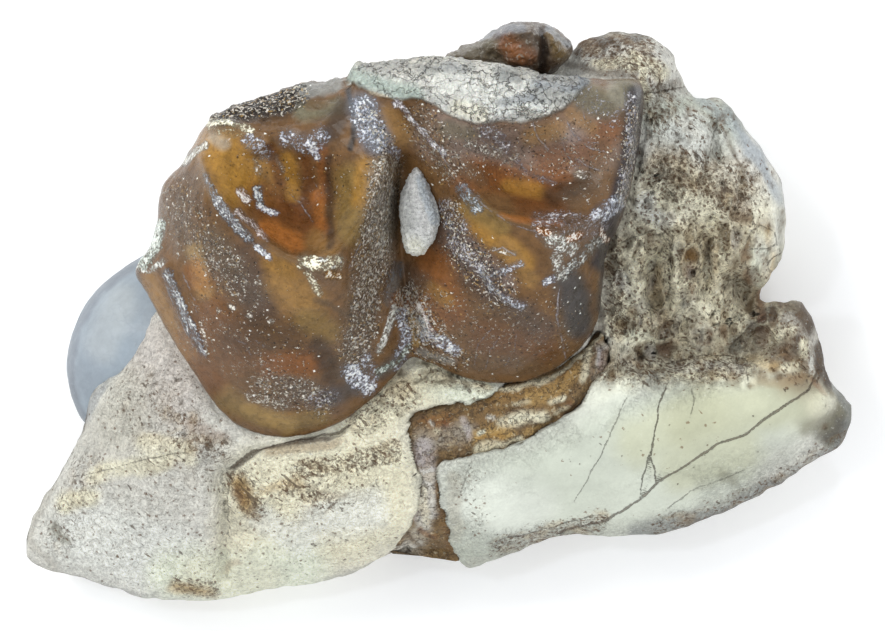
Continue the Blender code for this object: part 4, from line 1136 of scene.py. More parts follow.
MOLAR_STAINS = [
    # left lobe, hollow inside the V
    ("golden", 0.95, 24, [(222, 150), (236, 182)]), ("golden", 0.6, 18, [(258, 160), (268, 190)]),
    ("red_brown", 0.8, 18, [(264, 200), (290, 214)]), ("red_brown", 0.9, 14, [(296, 205), (318, 234)]),
    ("orange", 0.9, 9, [(268, 228), (298, 243)]), ("olive", 0.9, 15, [(352, 180), (352, 232)]),
    ("golden", 0.7, 9, [(366, 166), (360, 200)]), ("tan", 0.6, 10, [(318, 240), (330, 250)]),
    ("golden", 0.8, 7, [(288, 160), (294, 196)]), ("red_brown", 0.7, 6, [(272, 150), (280, 184)]),
    ("red_brown", 0.7, 6, [(306, 160), (312, 200)]), ("rust", 0.8, 6, [(322, 150), (326, 200)]),
    ("dark_brown", 0.7, 4, [(329, 160), (331, 200), (331, 246)]), ("orange", 0.7, 6, [(318, 196), (322, 226)]),
    ("warm_grey", 0.5, 6, [(216, 138), (226, 144)]),
    # left lobe, front face
    ("umber", 0.4, 15, [(196, 180), (184, 215), (200, 250)]), ("ochre", 0.5, 8, [(196, 250), (206, 290)]),
    ("orange", 0.5, 10, [(196, 268), (204, 284)]), ("purple_brown", 0.85, 22, [(238, 262), (262, 300)]),
    ("umber", 0.7, 12, [(212, 236), (232, 262)]), ("tan", 0.9, 18, [(284, 282), (306, 304)]),
    ("olive", 0.7, 12, [(308, 320), (330, 330)]), ("rust", 0.5, 22, [(215, 320), (240, 350)]),
    ("dark_brown", 0.5, 22, [(240, 335), (290, 345)]), ("rust", 0.8, 13, [(270, 366), (310, 362)]),
    # The dark brown stroke from (322, 346) to (332, 374) is painted shade.
    ("dark_brown", 0.8, 11, [(322, 346), (332, 374)]), ("purple_brown", 0.6, 14, [(290, 392), (332, 396)]),
    ("olive", 0.8, 9, [(222, 396), (246, 412), (290, 424), (322, 416)]),
    ("ochre", 0.35, 8, [(228, 392), (252, 410), (292, 422)]), ("dark_brown", 0.4, 10, [(205, 378), (236, 398)]),
    ("tan", 0.6, 8, [(150, 278), (170, 322), (190, 352)]), ("umber", 0.8, 3, [(137, 274), (158, 318), (180, 354)]),
    ("rust", 0.4, 14, [(190, 340), (215, 380)]), ("golden", 0.5, 10, [(272, 262), (290, 268)]),
    ("umber", 0.7, 3, [(316, 300), (342, 312), (372, 330)]),
    # dark band down the valley
    ("olive_grey", 0.3, 14, [(386, 170), (382, 230)]), ("umber", 0.6, 16, [(384, 200), (380, 220), (368, 270), (358, 330), (352, 372)]),
    ("warm_grey", 0.25, 10, [(386, 194), (384, 256)]), ("slate", 0.7, 8, [(330, 398), (350, 390)]),
    ("grey", 0.5, 6, [(396, 268), (392, 300)]),
    # broken back edge of the left lobe
    ("soot", 0.95, 16, [(222, 112), (262, 106), (296, 98)]), ("grey", 0.8, 7, [(306, 92), (338, 84)]),
    ("olive_grey", 0.85, 9, [(304, 114), (338, 108)]), ("brown", 0.5, 5, [(312, 108), (328, 104)]),
    ("dark_brown", 0.8, 9, [(332, 132), (346, 108)]), ("soot", 0.9, 3, [(350, 90), (354, 120), (352, 150)]),
    ("blue_grey", 0.75, 14, [(364, 108), (378, 142)]),
    # right lobe, hollow inside the V
    ("lilac", 0.25, 14, [(452, 236), (476, 264), (500, 284)]), ("pink_grey", 0.3, 24, [(440, 136), (500, 150), (560, 150)]), ("lilac", 0.15, 22, [(575, 130), (600, 150)]),
    ("purple_brown", 0.5, 14, [(450, 138), (500, 148), (548, 140)]), ("tan", 0.6, 10, [(388, 118), (404, 136)]),
    ("brown", 0.7, 10, [(424, 118), (440, 150)]), ("olive_grey", 0.5, 8, [(446, 130), (470, 134)]),
    ("rust", 0.95, 16, [(466, 176), (500, 178), (540, 190), (556, 180)]), ("red_brown", 0.8, 12, [(524, 206), (556, 210)]),
    ("golden", 0.6, 8, [(508, 186), (538, 192)]), ("golden", 0.5, 9, [(530, 138), (558, 130)]),
    ("dark_brown", 0.7, 10, [(552, 196), (590, 182)]), ("umber", 0.6, 8, [(455, 165), (480, 182)]),
    ("rust", 0.7, 13, [(545, 160), (596, 150), (608, 130)]), ("olive_grey", 0.85, 14, [(584, 98), (606, 106), (624, 92)]),
    ("warm_grey", 0.3, 7, [(610, 90), (622, 104)]), ("tan", 0.5, 7, [(570, 116), (590, 130)]),
    ("orange", 0.7, 3, [(500, 216), (530, 222), (560, 224)]), ("brown", 0.5, 10, [(600, 150), (598, 190)]),
    # right lobe, front face
    ("golden", 0.75, 9, [(462, 214), (492, 236), (524, 262)]), ("olive", 0.8, 9, [(470, 208), (500, 228)]),
    ("tan", 0.7, 8, [(504, 246), (530, 280)]), ("rust", 0.6, 14, [(420, 215), (436, 250)]),
    # The slate strokes on the right of this face are painted shade on the lobe's side away from the light.
    ("purple_brown", 0.85, 18, [(446, 232), (470, 266), (490, 286)]), ("slate", 0.95, 15, [(570, 284), (578, 322)]),
    ("rust", 0.8, 18, [(432, 268), (450, 310)]), ("golden", 0.6, 8, [(430, 290), (446, 300)]),
    ("red_brown", 0.6, 18, [(486, 336), (540, 346)]), ("purple_brown", 0.6, 12, [(520, 310), (545, 330)]),
    ("umber", 0.5, 10, [(470, 362), (530, 366)]), ("slate", 0.7, 10, [(582, 300), (580, 330)]),
    ("dark_brown", 0.4, 10, [(498, 306), (530, 326)]), ("purple_brown", 0.5, 10, [(404, 270), (420, 284)]),
    # foot of the valley
    ("orange", 0.9, 7, [(398, 300), (418, 304)]), ("ochre", 0.8, 4, [(413, 322), (415, 342)]), ("rust", 0.6, 8, [(424, 300), (430, 330)]),
    ("slate", 0.6, 8, [(384, 372), (400, 360)]), ("grey", 0.6, 4, [(420, 352), (452, 362)]),
    # back wall of the right lobe: blue-black and slate, painted shade on the side turned from the light
    ("blue_black", 0.9, 10, [(636, 96), (635, 120), (630, 155), (621, 194), (607, 235), (600, 262)]),
    ("slate", 0.7, 5, [(604, 262), (600, 310)]),
]
CRUST_STAINS = [
    ("warm_grey", 0.6, 10, [(366, 64), (400, 64), (440, 70)]), ("bone_white", 0.5, 16, [(446, 84), (484, 96), (530, 88)]),
    ("bone_white", 0.7, 9, [(470, 110), (500, 114), (545, 111)]), ("grey_green", 0.95, 9, [(350, 76), (386, 88), (414, 99)]),
    ("grey", 0.6, 9, [(536, 96), (560, 100), (580, 90)]), ("cream", 0.5, 8, [(456, 110), (480, 116)]),
    ("grey", 0.8, 7, [(500, 76), (514, 78)]), ("blue_grey", 0.6, 9, [(540, 82), (580, 84)]),
    ("warm_grey", 0.6, 7, [(520, 72), (570, 78)]), ("blue_grey", 0.5, 5, [(500, 104), (530, 100)]),
    ("grey", 0.5, 5, [(424, 72), (470, 68)]), ("ochre", 0.5, 2, [(354, 90), (378, 97), (400, 106)]),
    ("umber", 0.6, 2, [(486, 122), (520, 127), (552, 117), (582, 96)]),
]
CRUST_SMOOTH = [(1.0, 10, [(348, 74), (384, 86), (416, 98)]), (0.7, 14, [(440, 84), (490, 100)])]
# The marks are pale worn enamel and painted highlights at once; the spark ones are painted glints.
MOLAR_MARKS = [  # colour, strength, half width, path; the material breaks each into grains
    ("cream", 0.75, 4, [(210, 125), (230, 122), (252, 131)]), ("warm_grey", 0.8, 4, [(185, 164), (197, 152), (208, 146)]),
    ("cream", 0.45, 6, [(212, 130), (236, 134), (256, 138)]),
    ("blue_white", 0.62, 10, [(250, 142), (266, 154)]), ("blue_white", 0.62, 11, [(290, 140), (312, 146), (322, 138)]),
    ("blue_white", 0.8, 5, [(312, 144), (318, 158)]), ("blue_white", 0.7, 16, [(364, 110), (376, 142)]),
    ("blue_white", 0.6, 6, [(384, 146), (396, 156)]), ("spark", 0.55, 3, [(256, 160), (260, 174)]),
    ("spark", 0.6, 3, [(278, 158), (284, 172)]), ("pale_blue", 0.75, 5, [(259, 190), (262, 206)]),
    ("blue_white", 0.85, 4, [(260, 207), (277, 213)]), ("pink_grey", 0.8, 5, [(242, 192), (248, 200)]),
    ("pale_blue", 0.62, 4, [(208, 176), (218, 200)]), ("blue_grey", 0.75, 6, [(219, 200), (234, 224), (250, 240)]),
    ("blue_white", 0.7, 4, [(224, 208), (240, 230)]), ("blue_white", 0.85, 4, [(258, 248), (270, 258)]),
    ("pink_grey", 0.7, 4, [(239, 213), (254, 226), (269, 239)]), ("blue_grey", 0.7, 6, [(170, 274), (184, 310), (204, 350)]),
    ("blue_white", 0.6, 3, [(172, 282), (190, 324), (202, 352)]), ("spark", 0.6, 3, [(202, 322), (208, 354)]),
    ("spark", 0.9, 3, [(232, 306), (235, 308)]), ("spark", 0.9, 2.5, [(250, 315), (252, 316)]),
    ("spark", 0.7, 2.5, [(220, 308), (222, 310)]), ("spark", 0.6, 2.5, [(271, 321), (273, 322)]),
    ("grey_green", 0.85, 7, [(160, 226), (156, 246), (144, 264)]), ("bone_white", 0.6, 4, [(138, 270), (152, 270), (164, 262)]),
    ("cream", 0.7, 8, [(306, 262), (325, 266), (338, 262)]), ("cream", 0.65, 5, [(310, 274), (320, 292)]),
    ("bone_white", 0.7, 5, [(322, 262), (334, 266)]), ("golden", 0.8, 4, [(328, 274), (340, 276)]),
    ("spark", 0.48, 14, [(262, 380), (312, 392)]), ("spark", 0.5, 8, [(252, 396), (286, 404)]),
    ("lilac", 0.5, 10, [(312, 400), (332, 396)]), ("blue_white", 0.75, 12, [(352, 372), (366, 386)]),
    ("blue_white", 0.6, 8, [(366, 360), (372, 376)]), ("spark", 0.42, 20, [(212, 250), (252, 292)]),
    ("spark", 0.36, 30, [(200, 330), (260, 372)]), ("spark", 0.36, 18, [(168, 200), (190, 250)]),
    ("spark", 0.45, 18, [(386, 165), (376, 250), (358, 350)]), ("blue_grey", 0.5, 10, [(394, 268), (390, 296)]),
    ("bone_white", 0.74, 4, [(396, 306), (388, 328), (380, 350)]), ("pink_grey", 0.9, 3.5, [(418, 306), (424, 318), (430, 330)]),
    ("blue_white", 0.68, 7, [(402, 312), (406, 340), (398, 366)]), ("grey_green", 0.7, 5, [(378, 372), (398, 362), (408, 346)]),
    ("blue_white", 0.72, 7, [(424, 336), (442, 342), (456, 350)]), ("pale_blue", 0.7, 5, [(420, 318), (428, 336)]),
    ("spark", 0.5, 12, [(404, 296), (416, 330)]), ("spark", 0.35, 22, [(420, 290), (450, 330)]),
    # right lobe
    ("lilac", 0.72, 4, [(396, 104), (420, 130), (444, 156)]), ("pale_blue", 0.6, 8, [(462, 190), (476, 208)]),
    ("lilac", 0.55, 10, [(446, 208), (462, 226)]), ("blue_white", 0.55, 8, [(448, 214), (456, 244)]),
    ("lilac", 0.62, 10, [(456, 246), (482, 270)]), ("blue_white", 0.66, 5, [(480, 270), (492, 290), (508, 302), (522, 306)]),
    ("blue_white", 0.6, 5, [(494, 274), (520, 264)]), ("spark", 0.5, 3, [(492, 250), (514, 254)]),
    ("lilac", 0.6, 8, [(486, 132), (506, 146)]), ("spark", 0.5, 8, [(470, 146), (512, 160)]),
    ("lilac", 0.5, 4, [(506, 152), (528, 174), (552, 184)]), ("spark", 0.7, 3, [(576, 174), (584, 178)]),
    ("lilac", 0.45, 16, [(584, 100), (612, 116)]), ("lilac", 0.55, 7, [(630, 98), (629, 150), (619, 196)]),
    ("blue_white", 0.7, 10, [(598, 216), (616, 204)]), ("lilac", 0.56, 10, [(538, 222), (566, 220), (598, 226)]),
    ("lilac", 0.5, 9, [(540, 232), (566, 238), (594, 232)]), ("bone_white", 0.64, 10, [(552, 240), (570, 250)]),
    ("grey_beige", 0.66, 7, [(556, 258), (562, 276)]), ("grey", 0.66, 7, [(566, 272), (584, 254), (598, 240)]),
    ("orange", 0.95, 4, [(538, 230), (548, 233)]), ("orange", 0.9, 5, [(568, 240), (578, 236)]),
    ("rust", 0.9, 4, [(600, 232), (606, 240)]), ("blue_white", 0.8, 4, [(545, 282), (552, 278)]),
    ("spark", 0.3, 30, [(440, 320), (520, 330)]), ("spark", 0.33, 16, [(474, 340), (512, 356)]),
    ("spark", 0.36, 20, [(424, 124), (456, 168)]), ("spark", 0.3, 26, [(500, 140), (600, 160)]),
    ("spark", 0.34, 12, [(570, 200), (600, 190)]),
]
MOLAR_LINES = [  # strength, path of a thin pale line with a dark one beside it
    (0.9, [(207, 172), (216, 196), (232, 220), (252, 242), (272, 260)]),
    (0.8, [(292, 195), (304, 208), (313, 221)]), (0.5, [(385, 192), (374, 220), (362, 244), (350, 268)]),
    (0.9, [(168, 271), (182, 306), (207, 357)]), (0.7, [(164, 276), (178, 312), (198, 352)]),
    (0.6, [(185, 276), (196, 300), (198, 318)]), (0.6, [(400, 104), (424, 132), (444, 160), (458, 180)]),
    (0.7, [(462, 186), (486, 208), (512, 226), (534, 232)]), (0.8, [(567, 124), (574, 138), (588, 148), (602, 152)]),
    (0.7, [(572, 134), (582, 142), (600, 144)]), (0.7, [(533, 126), (538, 140), (548, 150)]),
    (0.8, [(577, 160), (586, 168), (597, 171)]), (0.6, [(560, 140), (566, 156), (576, 166)]),
    (0.6, [(494, 140), (512, 160), (534, 176), (556, 184)]), (0.5, [(474, 130), (488, 148), (500, 152)]),
    (0.9, [(558, 291), (556, 318), (565, 356)]), (0.8, [(492, 252), (502, 248), (516, 256)]),
    (0.5, [(455, 236), (470, 240), (486, 254)]), (0.5, [(474, 366), (478, 344), (490, 330)]),
    (0.4, [(486, 366), (490, 350), (500, 336)]), (0.4, [(506, 364), (514, 350), (516, 336)]),
    (0.45, [(210, 408), (236, 426), (262, 436), (296, 438), (332, 430), (364, 404)]),
    (0.45, [(470, 381), (520, 384), (550, 374), (578, 352), (596, 324)]),
    (0.7, [(430, 306), (428, 322), (436, 334)]), (0.7, [(586, 96), (580, 108), (584, 122)]),
    (0.5, [(622, 88), (624, 108)]), (0.5, [(300, 182), (310, 178), (318, 186)]),
    (0.5, [(236, 340), (246, 344), (252, 354)]), (0.5, [(256, 338), (266, 346)]), (0.5, [(220, 200), (240, 216), (262, 232)]),
]
# Areas of painted glints on the enamel: strength, half width, path.
PAINTED_GLINT_AREAS = [
    (0.6, 20, [(386, 165), (376, 250), (356, 350)]), (0.6, 12, [(364, 115), (386, 145)]),
    (0.6, 10, [(632, 115), (622, 200)]), (0.5, 20, [(270, 385), (320, 400)]), (0.56, 24, [(460, 250), (500, 290)]),
    (0.64, 15, [(215, 112), (260, 106), (300, 98)]), (0.6, 12, [(450, 208), (462, 250)]), (0.32, 50, [(230, 290), (280, 350)]), (0.36, 40, [(450, 310), (500, 340), (550, 330)]),
    (0.5, 16, [(420, 350), (460, 360)]), (0.3, 40, [(260, 160), (330, 180)]), (0.38, 40, [(480, 150), (590, 150)]),
    (0.5, 22, [(420, 120), (450, 170)]), (0.68, 20, [(410, 300), (428, 334)]), (0.45, 26, [(180, 200), (230, 280)]),
]

# %% Enamel material
enamel_look, tree, shader = new_look("brown_enamel", 0.3, Coat_Weight=0.12, Coat_Roughness=0.06,
                                     Specular_IOR_Level=0.16, Subsurface_Weight=0.05,
                                     Subsurface_Scale=0.0005)
shader.inputs["Subsurface Radius"].default_value = (1.0, 0.5, 0.2)
grain = add_group(tree, GRAIN, Waves=2400.0)
fine = add_group(tree, GRAIN, Waves=9500.0)
# Painted highlights: where the glint density is high, pale glints, golden glints and round sparkles are mixed into the
# enamel's colour.
painted_glint_density = read_value(tree, "painted_glint_density")
glints = add_group(tree, SPECKS, Waves=8600.0, Density=painted_glint_density)
painted_sparkle = add_group(tree, DOTS, Waves=7600.0, Density=add_math(tree, "MULTIPLY", painted_glint_density, 0.05))
painted_golden_glints = add_group(tree, SPECKS, Waves=7200.0, Density=add_math(tree, "MULTIPLY", painted_glint_density, 0.85))
shadows = add_group(tree, SPECKS, Waves=8200.0, Density=painted_glint_density)
folds = add_group(tree, WRINKLES, Waves=1300.0, Width=0.012)
crust = read_value(tree, "crust")
flaky = read_value(tree, "flaky")
crust_cracks = add_group(tree, WRINKLES, Waves=1100.0, Width=0.011)
crust_flakes = add_group(tree, FLAKES, Waves=1000.0, Width=0.04)
crust_grain = add_group(tree, GRAIN, Waves=6500.0)
plain = shaded(tree, read_value(tree, "stain", "Color"), grain.outputs["Fine"], 0.6, 1.24)
plain = shaded(tree, plain, grain.outputs["Cloud"], 0.82, 1.1)
colour = shaded(tree, plain, fine.outputs["Fine"], 0.55, 1.35)
colour = add_mix(tree, add_math(tree, "MULTIPLY_ADD", painted_glint_density, 1.5, 0.2), plain, colour)
mark_cover = read_value(tree, "mark_cover")
mark_colour = read_value(tree, "mark_colour", "Color")
patches = add_math(tree, "MULTIPLY_ADD", grain.outputs["Fine"], 1.5, add_math(tree, "ADD", mark_cover, -2.0))
mark_reach = add_math(tree, "MULTIPLY_ADD", fine.outputs["Fine"], 2.3, patches)
marked = add_band(tree, mark_cover, 0.02, 0.25)
mark_mask = add_math(tree, "MULTIPLY", add_band(tree, mark_reach, 0.44, 0.64), marked)
# The brightest grains of each mark turn near white: a painted highlight.
mark_painted_highlight = add_math(tree, "MULTIPLY", add_band(tree, mark_reach, 0.72, 0.9), marked)
mark_gap = add_math(tree, "MULTIPLY", add_band(tree, mark_reach, 0.4, 0.2), add_band(tree, mark_cover, 0.2, 0.6))
tint = add_math(tree, "MULTIPLY", mark_cover, mark_cover)
line_side = read_value(tree, "line_side")
line_strength = read_value(tree, "line_strength")
breaks = add_band(tree, add_noise(tree, tree.nodes.new("ShaderNodeTexCoord").outputs["Object"], 2400.0), 0.42, 0.58)
line_shown = add_math(tree, "MULTIPLY", breaks, add_band(tree, line_strength, 0.04, 0.4))
gaps = add_math(tree, "MULTIPLY_ADD", grain.outputs["Fine"], 7.0, add_math(tree, "MULTIPLY_ADD", line_strength, -1.3, -5.2))
line_edge = add_math(tree, "MULTIPLY_ADD", fine.outputs["Fine"], 4.0, gaps)
beside = add_math(tree, "ADD", add_math(tree, "ABSOLUTE", line_side), line_edge)
pale_line = add_math(tree, "MULTIPLY", add_band(tree, beside, 0.6, -0.2), line_shown)
below = add_math(tree, "ABSOLUTE", add_math(tree, "ADD", line_side, -2.0))
dark_line = add_math(tree, "MULTIPLY", add_band(tree, add_math(tree, "ADD", below, line_edge), 0.9, -0.2), line_shown)
for mask, strength, paint in (
        (folds.outputs["Line"], 0.35, PALETTE["dark_brown"]), (shadows.outputs["Mask"], 0.75, PALETTE["soot"]),
        (painted_golden_glints.outputs["Mask"], 0.5, PALETTE["ochre"]), (tint, 0.25, mark_colour),
        (mark_gap, 0.6, PALETTE["dark_brown"]), (mark_mask, 0.75, mark_colour),
        (mark_painted_highlight, 0.7, PALETTE["bone_white"]), (dark_line, 0.5, PALETTE["dark_brown"]),
        (pale_line, 0.55, PALETTE["lilac"]), (glints.outputs["Mask"], 0.8, PALETTE["spark"]),
        (painted_sparkle.outputs["Mask"], 0.8, PALETTE["bone_white"])):
    colour = add_mix(tree, add_math(tree, "MULTIPLY", mask, strength), colour, paint)
crust_colour = shaded(tree, read_value(tree, "stain", "Color"), crust_grain.outputs["Fine"], 0.55, 1.4)
crust_colour = shaded(tree, crust_colour, fine.outputs["Fine"], 0.7, 1.26)
flake_tone = add_math(tree, "MULTIPLY", crust_flakes.outputs["Tone"], flaky)
flake_line = add_math(tree, "MULTIPLY", crust_flakes.outputs["Line"], flaky)
for mask, strength, name in (
        (flake_tone, 0.3, "blue_grey"), (crust_cracks.outputs["Line"], 0.4, "umber"), (flake_line, 0.7, "slate")):
    crust_colour = add_mix(tree, add_math(tree, "MULTIPLY", mask, strength), crust_colour, PALETTE[name])
colour = add_mix(tree, crust, colour, crust_colour)
tree.links.new(colour, shader.inputs["Base Color"])
roughness = add_math(tree, "MULTIPLY_ADD", grain.outputs["Fine"], 0.3, 0.14)
roughness = add_math(tree, "MULTIPLY_ADD", crust, 0.4, roughness)
tree.links.new(roughness, shader.inputs["Roughness"])
tree.links.new(add_math(tree, "MULTIPLY_ADD", crust, -0.12, 0.12), shader.inputs["Coat Weight"])
ground = add_math(tree, "MULTIPLY_ADD", grain.outputs["Cloud"], 0.8, grain.outputs["Fine"])
ground = add_math(tree, "MULTIPLY", ground, 0.45)
lumpy = add_math(tree, "SUBTRACT", crust_grain.outputs["Fine"], add_math(tree, "ADD", crust_cracks.outputs["Line"], flake_line))
raised = add_math(tree, "MULTIPLY_ADD", add_math(tree, "MULTIPLY", lumpy, crust), 1.1, ground)
for mask, height in ((mark_mask, 0.5), (pale_line, 0.4), (glints.outputs["Mask"], 0.6),
                     (shadows.outputs["Mask"], -0.4)):
    raised = add_math(tree, "MULTIPLY_ADD", mask, height, raised)
add_bump(tree, shader, raised, 0.00016)
print("enamel material:", len(tree.nodes), "nodes")

# %% Molar piece
CRUST_RISE = 0.12  # millimetres above the enamel
CRUST_HANG = 5  # rings that the crust and the marks reach down the wall, on average
WALL_PLAIN = 0.8  # share of plain brown below them
MOLAR_RINGS = (158, 14, 3)  # rings on top, down the side and under the floor
BROKEN_DROP = 0.25  # millimetres below it
molar_top_map = spot_surface(MOLAR_SPOTS)
molar_rim_map = spot_surface(MOLAR_RIM)


def molar_top(x, y):
    """The map with its broad and fine ridges, in millimetres."""
    return molar_top_map(x, y) + relief(x, y, MOLAR_RELIEF) + relief(x, y, MOLAR_FINE_RELIEF)


x, y, z = lump_grid(MOLAR_OUTLINE, MOLAR_CENTRE, molar_top, molar_rim_map, 6.75, columns=560,
                    rings=MOLAR_RINGS, floor_share=0.95, edge=10, bulge=3)
level = z * MM / PIXEL
points = row_point(x, y, z)
bent = 4 * layered_noise(x, y, level, 12, 103)
ring = np.arange(len(x))[:, None]
upper = MOLAR_RINGS[0] + CRUST_HANG + 3 * layered_noise(x, y, level, 26, 105, 2) - ring
upper = np.clip(upper, 0, 1)
crust = upper * np.clip((inside_distance(x + bent, y - bent, CRUST_OUTLINE) + 1) / 3, 0, 1)
broken = upper * np.clip((inside_distance(x + bent, y - bent, BROKEN_OUTLINE) + 1) / 4, 0, 1)
broken *= 1 - crust
rough = 0.05 * layered_noise(x, y, level, 34, 111) + 0.03 * layered_noise(x, y, level, 9, 121, 2)
lumpy = 0.15 * layered_noise(x, y, level, 18, 131) + 0.1 * layered_noise(x, y, level, 6, 141, 2)
rough += (crust + broken) * lumpy
points += grid_normals(points) * np.where(z < 6.8, 0, rough)[..., None] * MM
points[..., 2] += np.where(z < 6.8, 0, CRUST_RISE * crust - BROKEN_DROP * broken) * MM
mark_cover = np.zeros(x.shape)
mark_colour = np.empty(x.shape + (3,))
mark_colour[:] = PALETTE["blue_white"]
bent = 2.0 * layered_noise(x, y, level, 10, 161)
for name, strength, half_width, path in MOLAR_MARKS:
    cover = strength * fall(distance_to_path(x + bent, y - bent, path), half_width)
    mark_colour[cover > mark_cover] = PALETTE[name]
    mark_cover = np.maximum(mark_cover, cover)
line_side, line_strength = side_of_cracks(x + bent / 2, y - bent / 2, MOLAR_LINES)
mark_cover *= upper
stain = painted(x, y, level, "brown", MOLAR_STAINS, 151, 3.0)
stain += (PALETTE["brown"] - stain) * (WALL_PLAIN * (1 - upper))[..., None]
stain += (painted(x, y, level, "grey_beige", CRUST_STAINS, 153, 3.0) - stain) * crust[..., None]
lump_mesh("molar_crown", points, enamel_look, "molar", {
    "stain": stain, "crust": crust, "flaky": crust * (1 - covered(x, y, level, CRUST_SMOOTH, 155)),
    "painted_glint_density": upper * covered(x, y, level, PAINTED_GLINT_AREAS, 181), "mark_cover": mark_cover,
    "mark_colour": mark_colour, "line_side": np.clip(line_side, -12, 12), "line_strength": line_strength})

# %% [markdown]
# ## Tooth stub, pebble and nodule
# Three small lumps: the broken end of a second tooth behind the molar, an oval pebble of pale
# sediment in the valley, and a smooth blue-grey nodule at the left. Each is the same kind of
# grid with its own stains.

# %% Small materials
stub_look, tree, shader = new_look("stub_enamel", 0.4, Coat_Weight=0.4, Coat_Roughness=0.2)
grain = add_group(tree, GRAIN, Waves=6500.0)
specks = add_group(tree, SPECKS, Waves=5200.0, Density=0.45)
colour = shaded(tree, read_value(tree, "stain", "Color"), grain.outputs["Fine"], 0.6, 1.3)
colour = add_mix(tree, add_math(tree, "MULTIPLY", specks.outputs["Mask"], 0.5), colour,
                 PALETTE["warm_grey"])
tree.links.new(colour, shader.inputs["Base Color"])
add_bump(tree, shader, grain.outputs["Fine"], 0.0002)

pebble_look, tree, shader = new_look("pebble_sediment", 0.7)
grain = add_group(tree, GRAIN, Waves=8000.0)
pale_specks = add_group(tree, SPECKS, Waves=7600.0, Density=0.5)
dark_specks = add_group(tree, SPECKS, Waves=9000.0, Density=0.42)
colour = shaded(tree, read_value(tree, "stain", "Color"), grain.outputs["Fine"], 0.5, 1.8)
for mask, strength, name in ((pale_specks.outputs["Mask"], 0.6, "bone_white"),
                             (dark_specks.outputs["Mask"], 0.5, "grey")):
    colour = add_mix(tree, add_math(tree, "MULTIPLY", mask, strength), colour, PALETTE[name])
tree.links.new(colour, shader.inputs["Base Color"])
add_bump(tree, shader, grain.outputs["Fine"], 0.0004)

nodule_look, tree, shader = new_look("nodule_mineral", 0.45, Coat_Weight=0.1, Coat_Roughness=0.3)
grain = add_group(tree, GRAIN, Waves=2600.0)
veins = add_group(tree, WRINKLES, Waves=420.0, Width=0.01)
colour = shaded(tree, read_value(tree, "stain", "Color"), grain.outputs["Cloud"], 0.58, 0.8)
colour = shaded(tree, colour, grain.outputs["Fine"], 0.88, 1.1)
colour = add_mix(tree, add_math(tree, "MULTIPLY", veins.outputs["Line"], 0.35), colour, PALETTE["blue_grey"])
tree.links.new(colour, shader.inputs["Base Color"])
add_bump(tree, shader, grain.outputs["Fine"], 0.00004)
print("small materials ready")

# %% Small pieces
STUB_OUTLINE = [
    (444, 60), (482, 68), (520, 75), (552, 72), (571, 52), (561, 33), (537, 23), (508, 25),
    (478, 41),
]
STUB_SPOTS = [(470, 56, 9.4), (505, 45, 10.4), (530, 40, 10.6), (555, 48, 10.0), (500, 68, 10.2)]
PLUG_OUTLINE = [
    (400, 205), (402, 234), (408, 253), (422, 255), (435, 238), (439, 214), (430, 190),
    (418, 168), (406, 184),
]
NODULE_OUTLINE = [
    (66, 370), (80, 418), (110, 432), (150, 428), (190, 400), (205, 340), (190, 280),
    (158, 252), (132, 261), (100, 286), (76, 320),
]
NODULE_SPOTS = [(80, 350, 4.6), (120, 340, 5.6), (110, 400, 4.6), (150, 350, 5.8), (130, 280, 5.0)]
STUB_RELIEF = [
    ([(541, 30), (543, 60), (540, 72)], -0.6, 4), ([(470, 50), (500, 60)], -0.3, 6),
    ([(500, 34), (530, 32)], 0.3, 5), ([(555, 36), (562, 58)], 0.3, 5), ([(484, 44), (488, 64)], 0.2, 5),
]
STUB_STAINS = [
    ("olive_grey", 0.9, 14, [(462, 56), (486, 52)]), ("umber", 0.5, 14, [(458, 58), (486, 56)]), ("rust", 0.95, 10, [(504, 44), (526, 58)]),
    ("orange", 0.5, 5, [(508, 48), (518, 54)]), ("blue_grey", 0.6, 5, [(480, 36), (520, 28)]),
    ("dark_brown", 0.9, 4, [(541, 30), (543, 70)]), ("olive", 0.8, 7, [(554, 38), (560, 54)]),
    ("warm_grey", 0.6, 4, [(490, 66), (530, 72)]), ("pale_blue", 0.4, 3, [(548, 28), (566, 44)]),
]
PEBBLE_STAINS = [("lilac", 0.5, 20, [(416, 180), (420, 220)]), ("grey", 0.4, 6, [(406, 195), (408, 225)]),
                 ("pale_blue", 0.6, 5, [(420, 180), (434, 222)]), ("cream", 0.4, 8, [(414, 244), (418, 252)])]
NODULE_STAINS = [
    ("bone_white", 0.25, 16, [(120, 300), (100, 345)]), ("blue_grey", 0.25, 22, [(90, 330), (84, 380)]),
    ("blue_grey", 0.8, 5, [(134, 262), (100, 288), (76, 326), (68, 362), (74, 402), (84, 424)]),
]


def flat_level(height):
    """A rim of one height."""
    return lambda x, y: np.full(np.shape(x), float(height))


def mapped(spots, features):
    """Spot heights with relief."""
    surface = spot_surface(spots)
    return lambda x, y: surface(x, y) + relief(x, y, features)


def small_lump(name, node, look, outline, centre, top, rim, floor, columns, rings, floor_share, edge,
               base, stains, swell, seed):
    """A lump with stains; swell lists (millimetres, cell in pixels) of its noise."""
    x, y, z = lump_grid(outline, centre, top, flat_level(rim), floor, columns, rings, floor_share,
                        edge, 2.6)
    level = z * MM / PIXEL
    points = row_point(x, y, z)
    rough = sum(size * layered_noise(x, y, level, cell, seed + cell) for size, cell in swell)
    points += grid_normals(points) * np.where(z < floor + 0.02, 0, rough)[..., None] * MM
    lump_mesh(name, points, look, node, {"stain": painted(x, y, level, base, stains, seed, 3.0)})


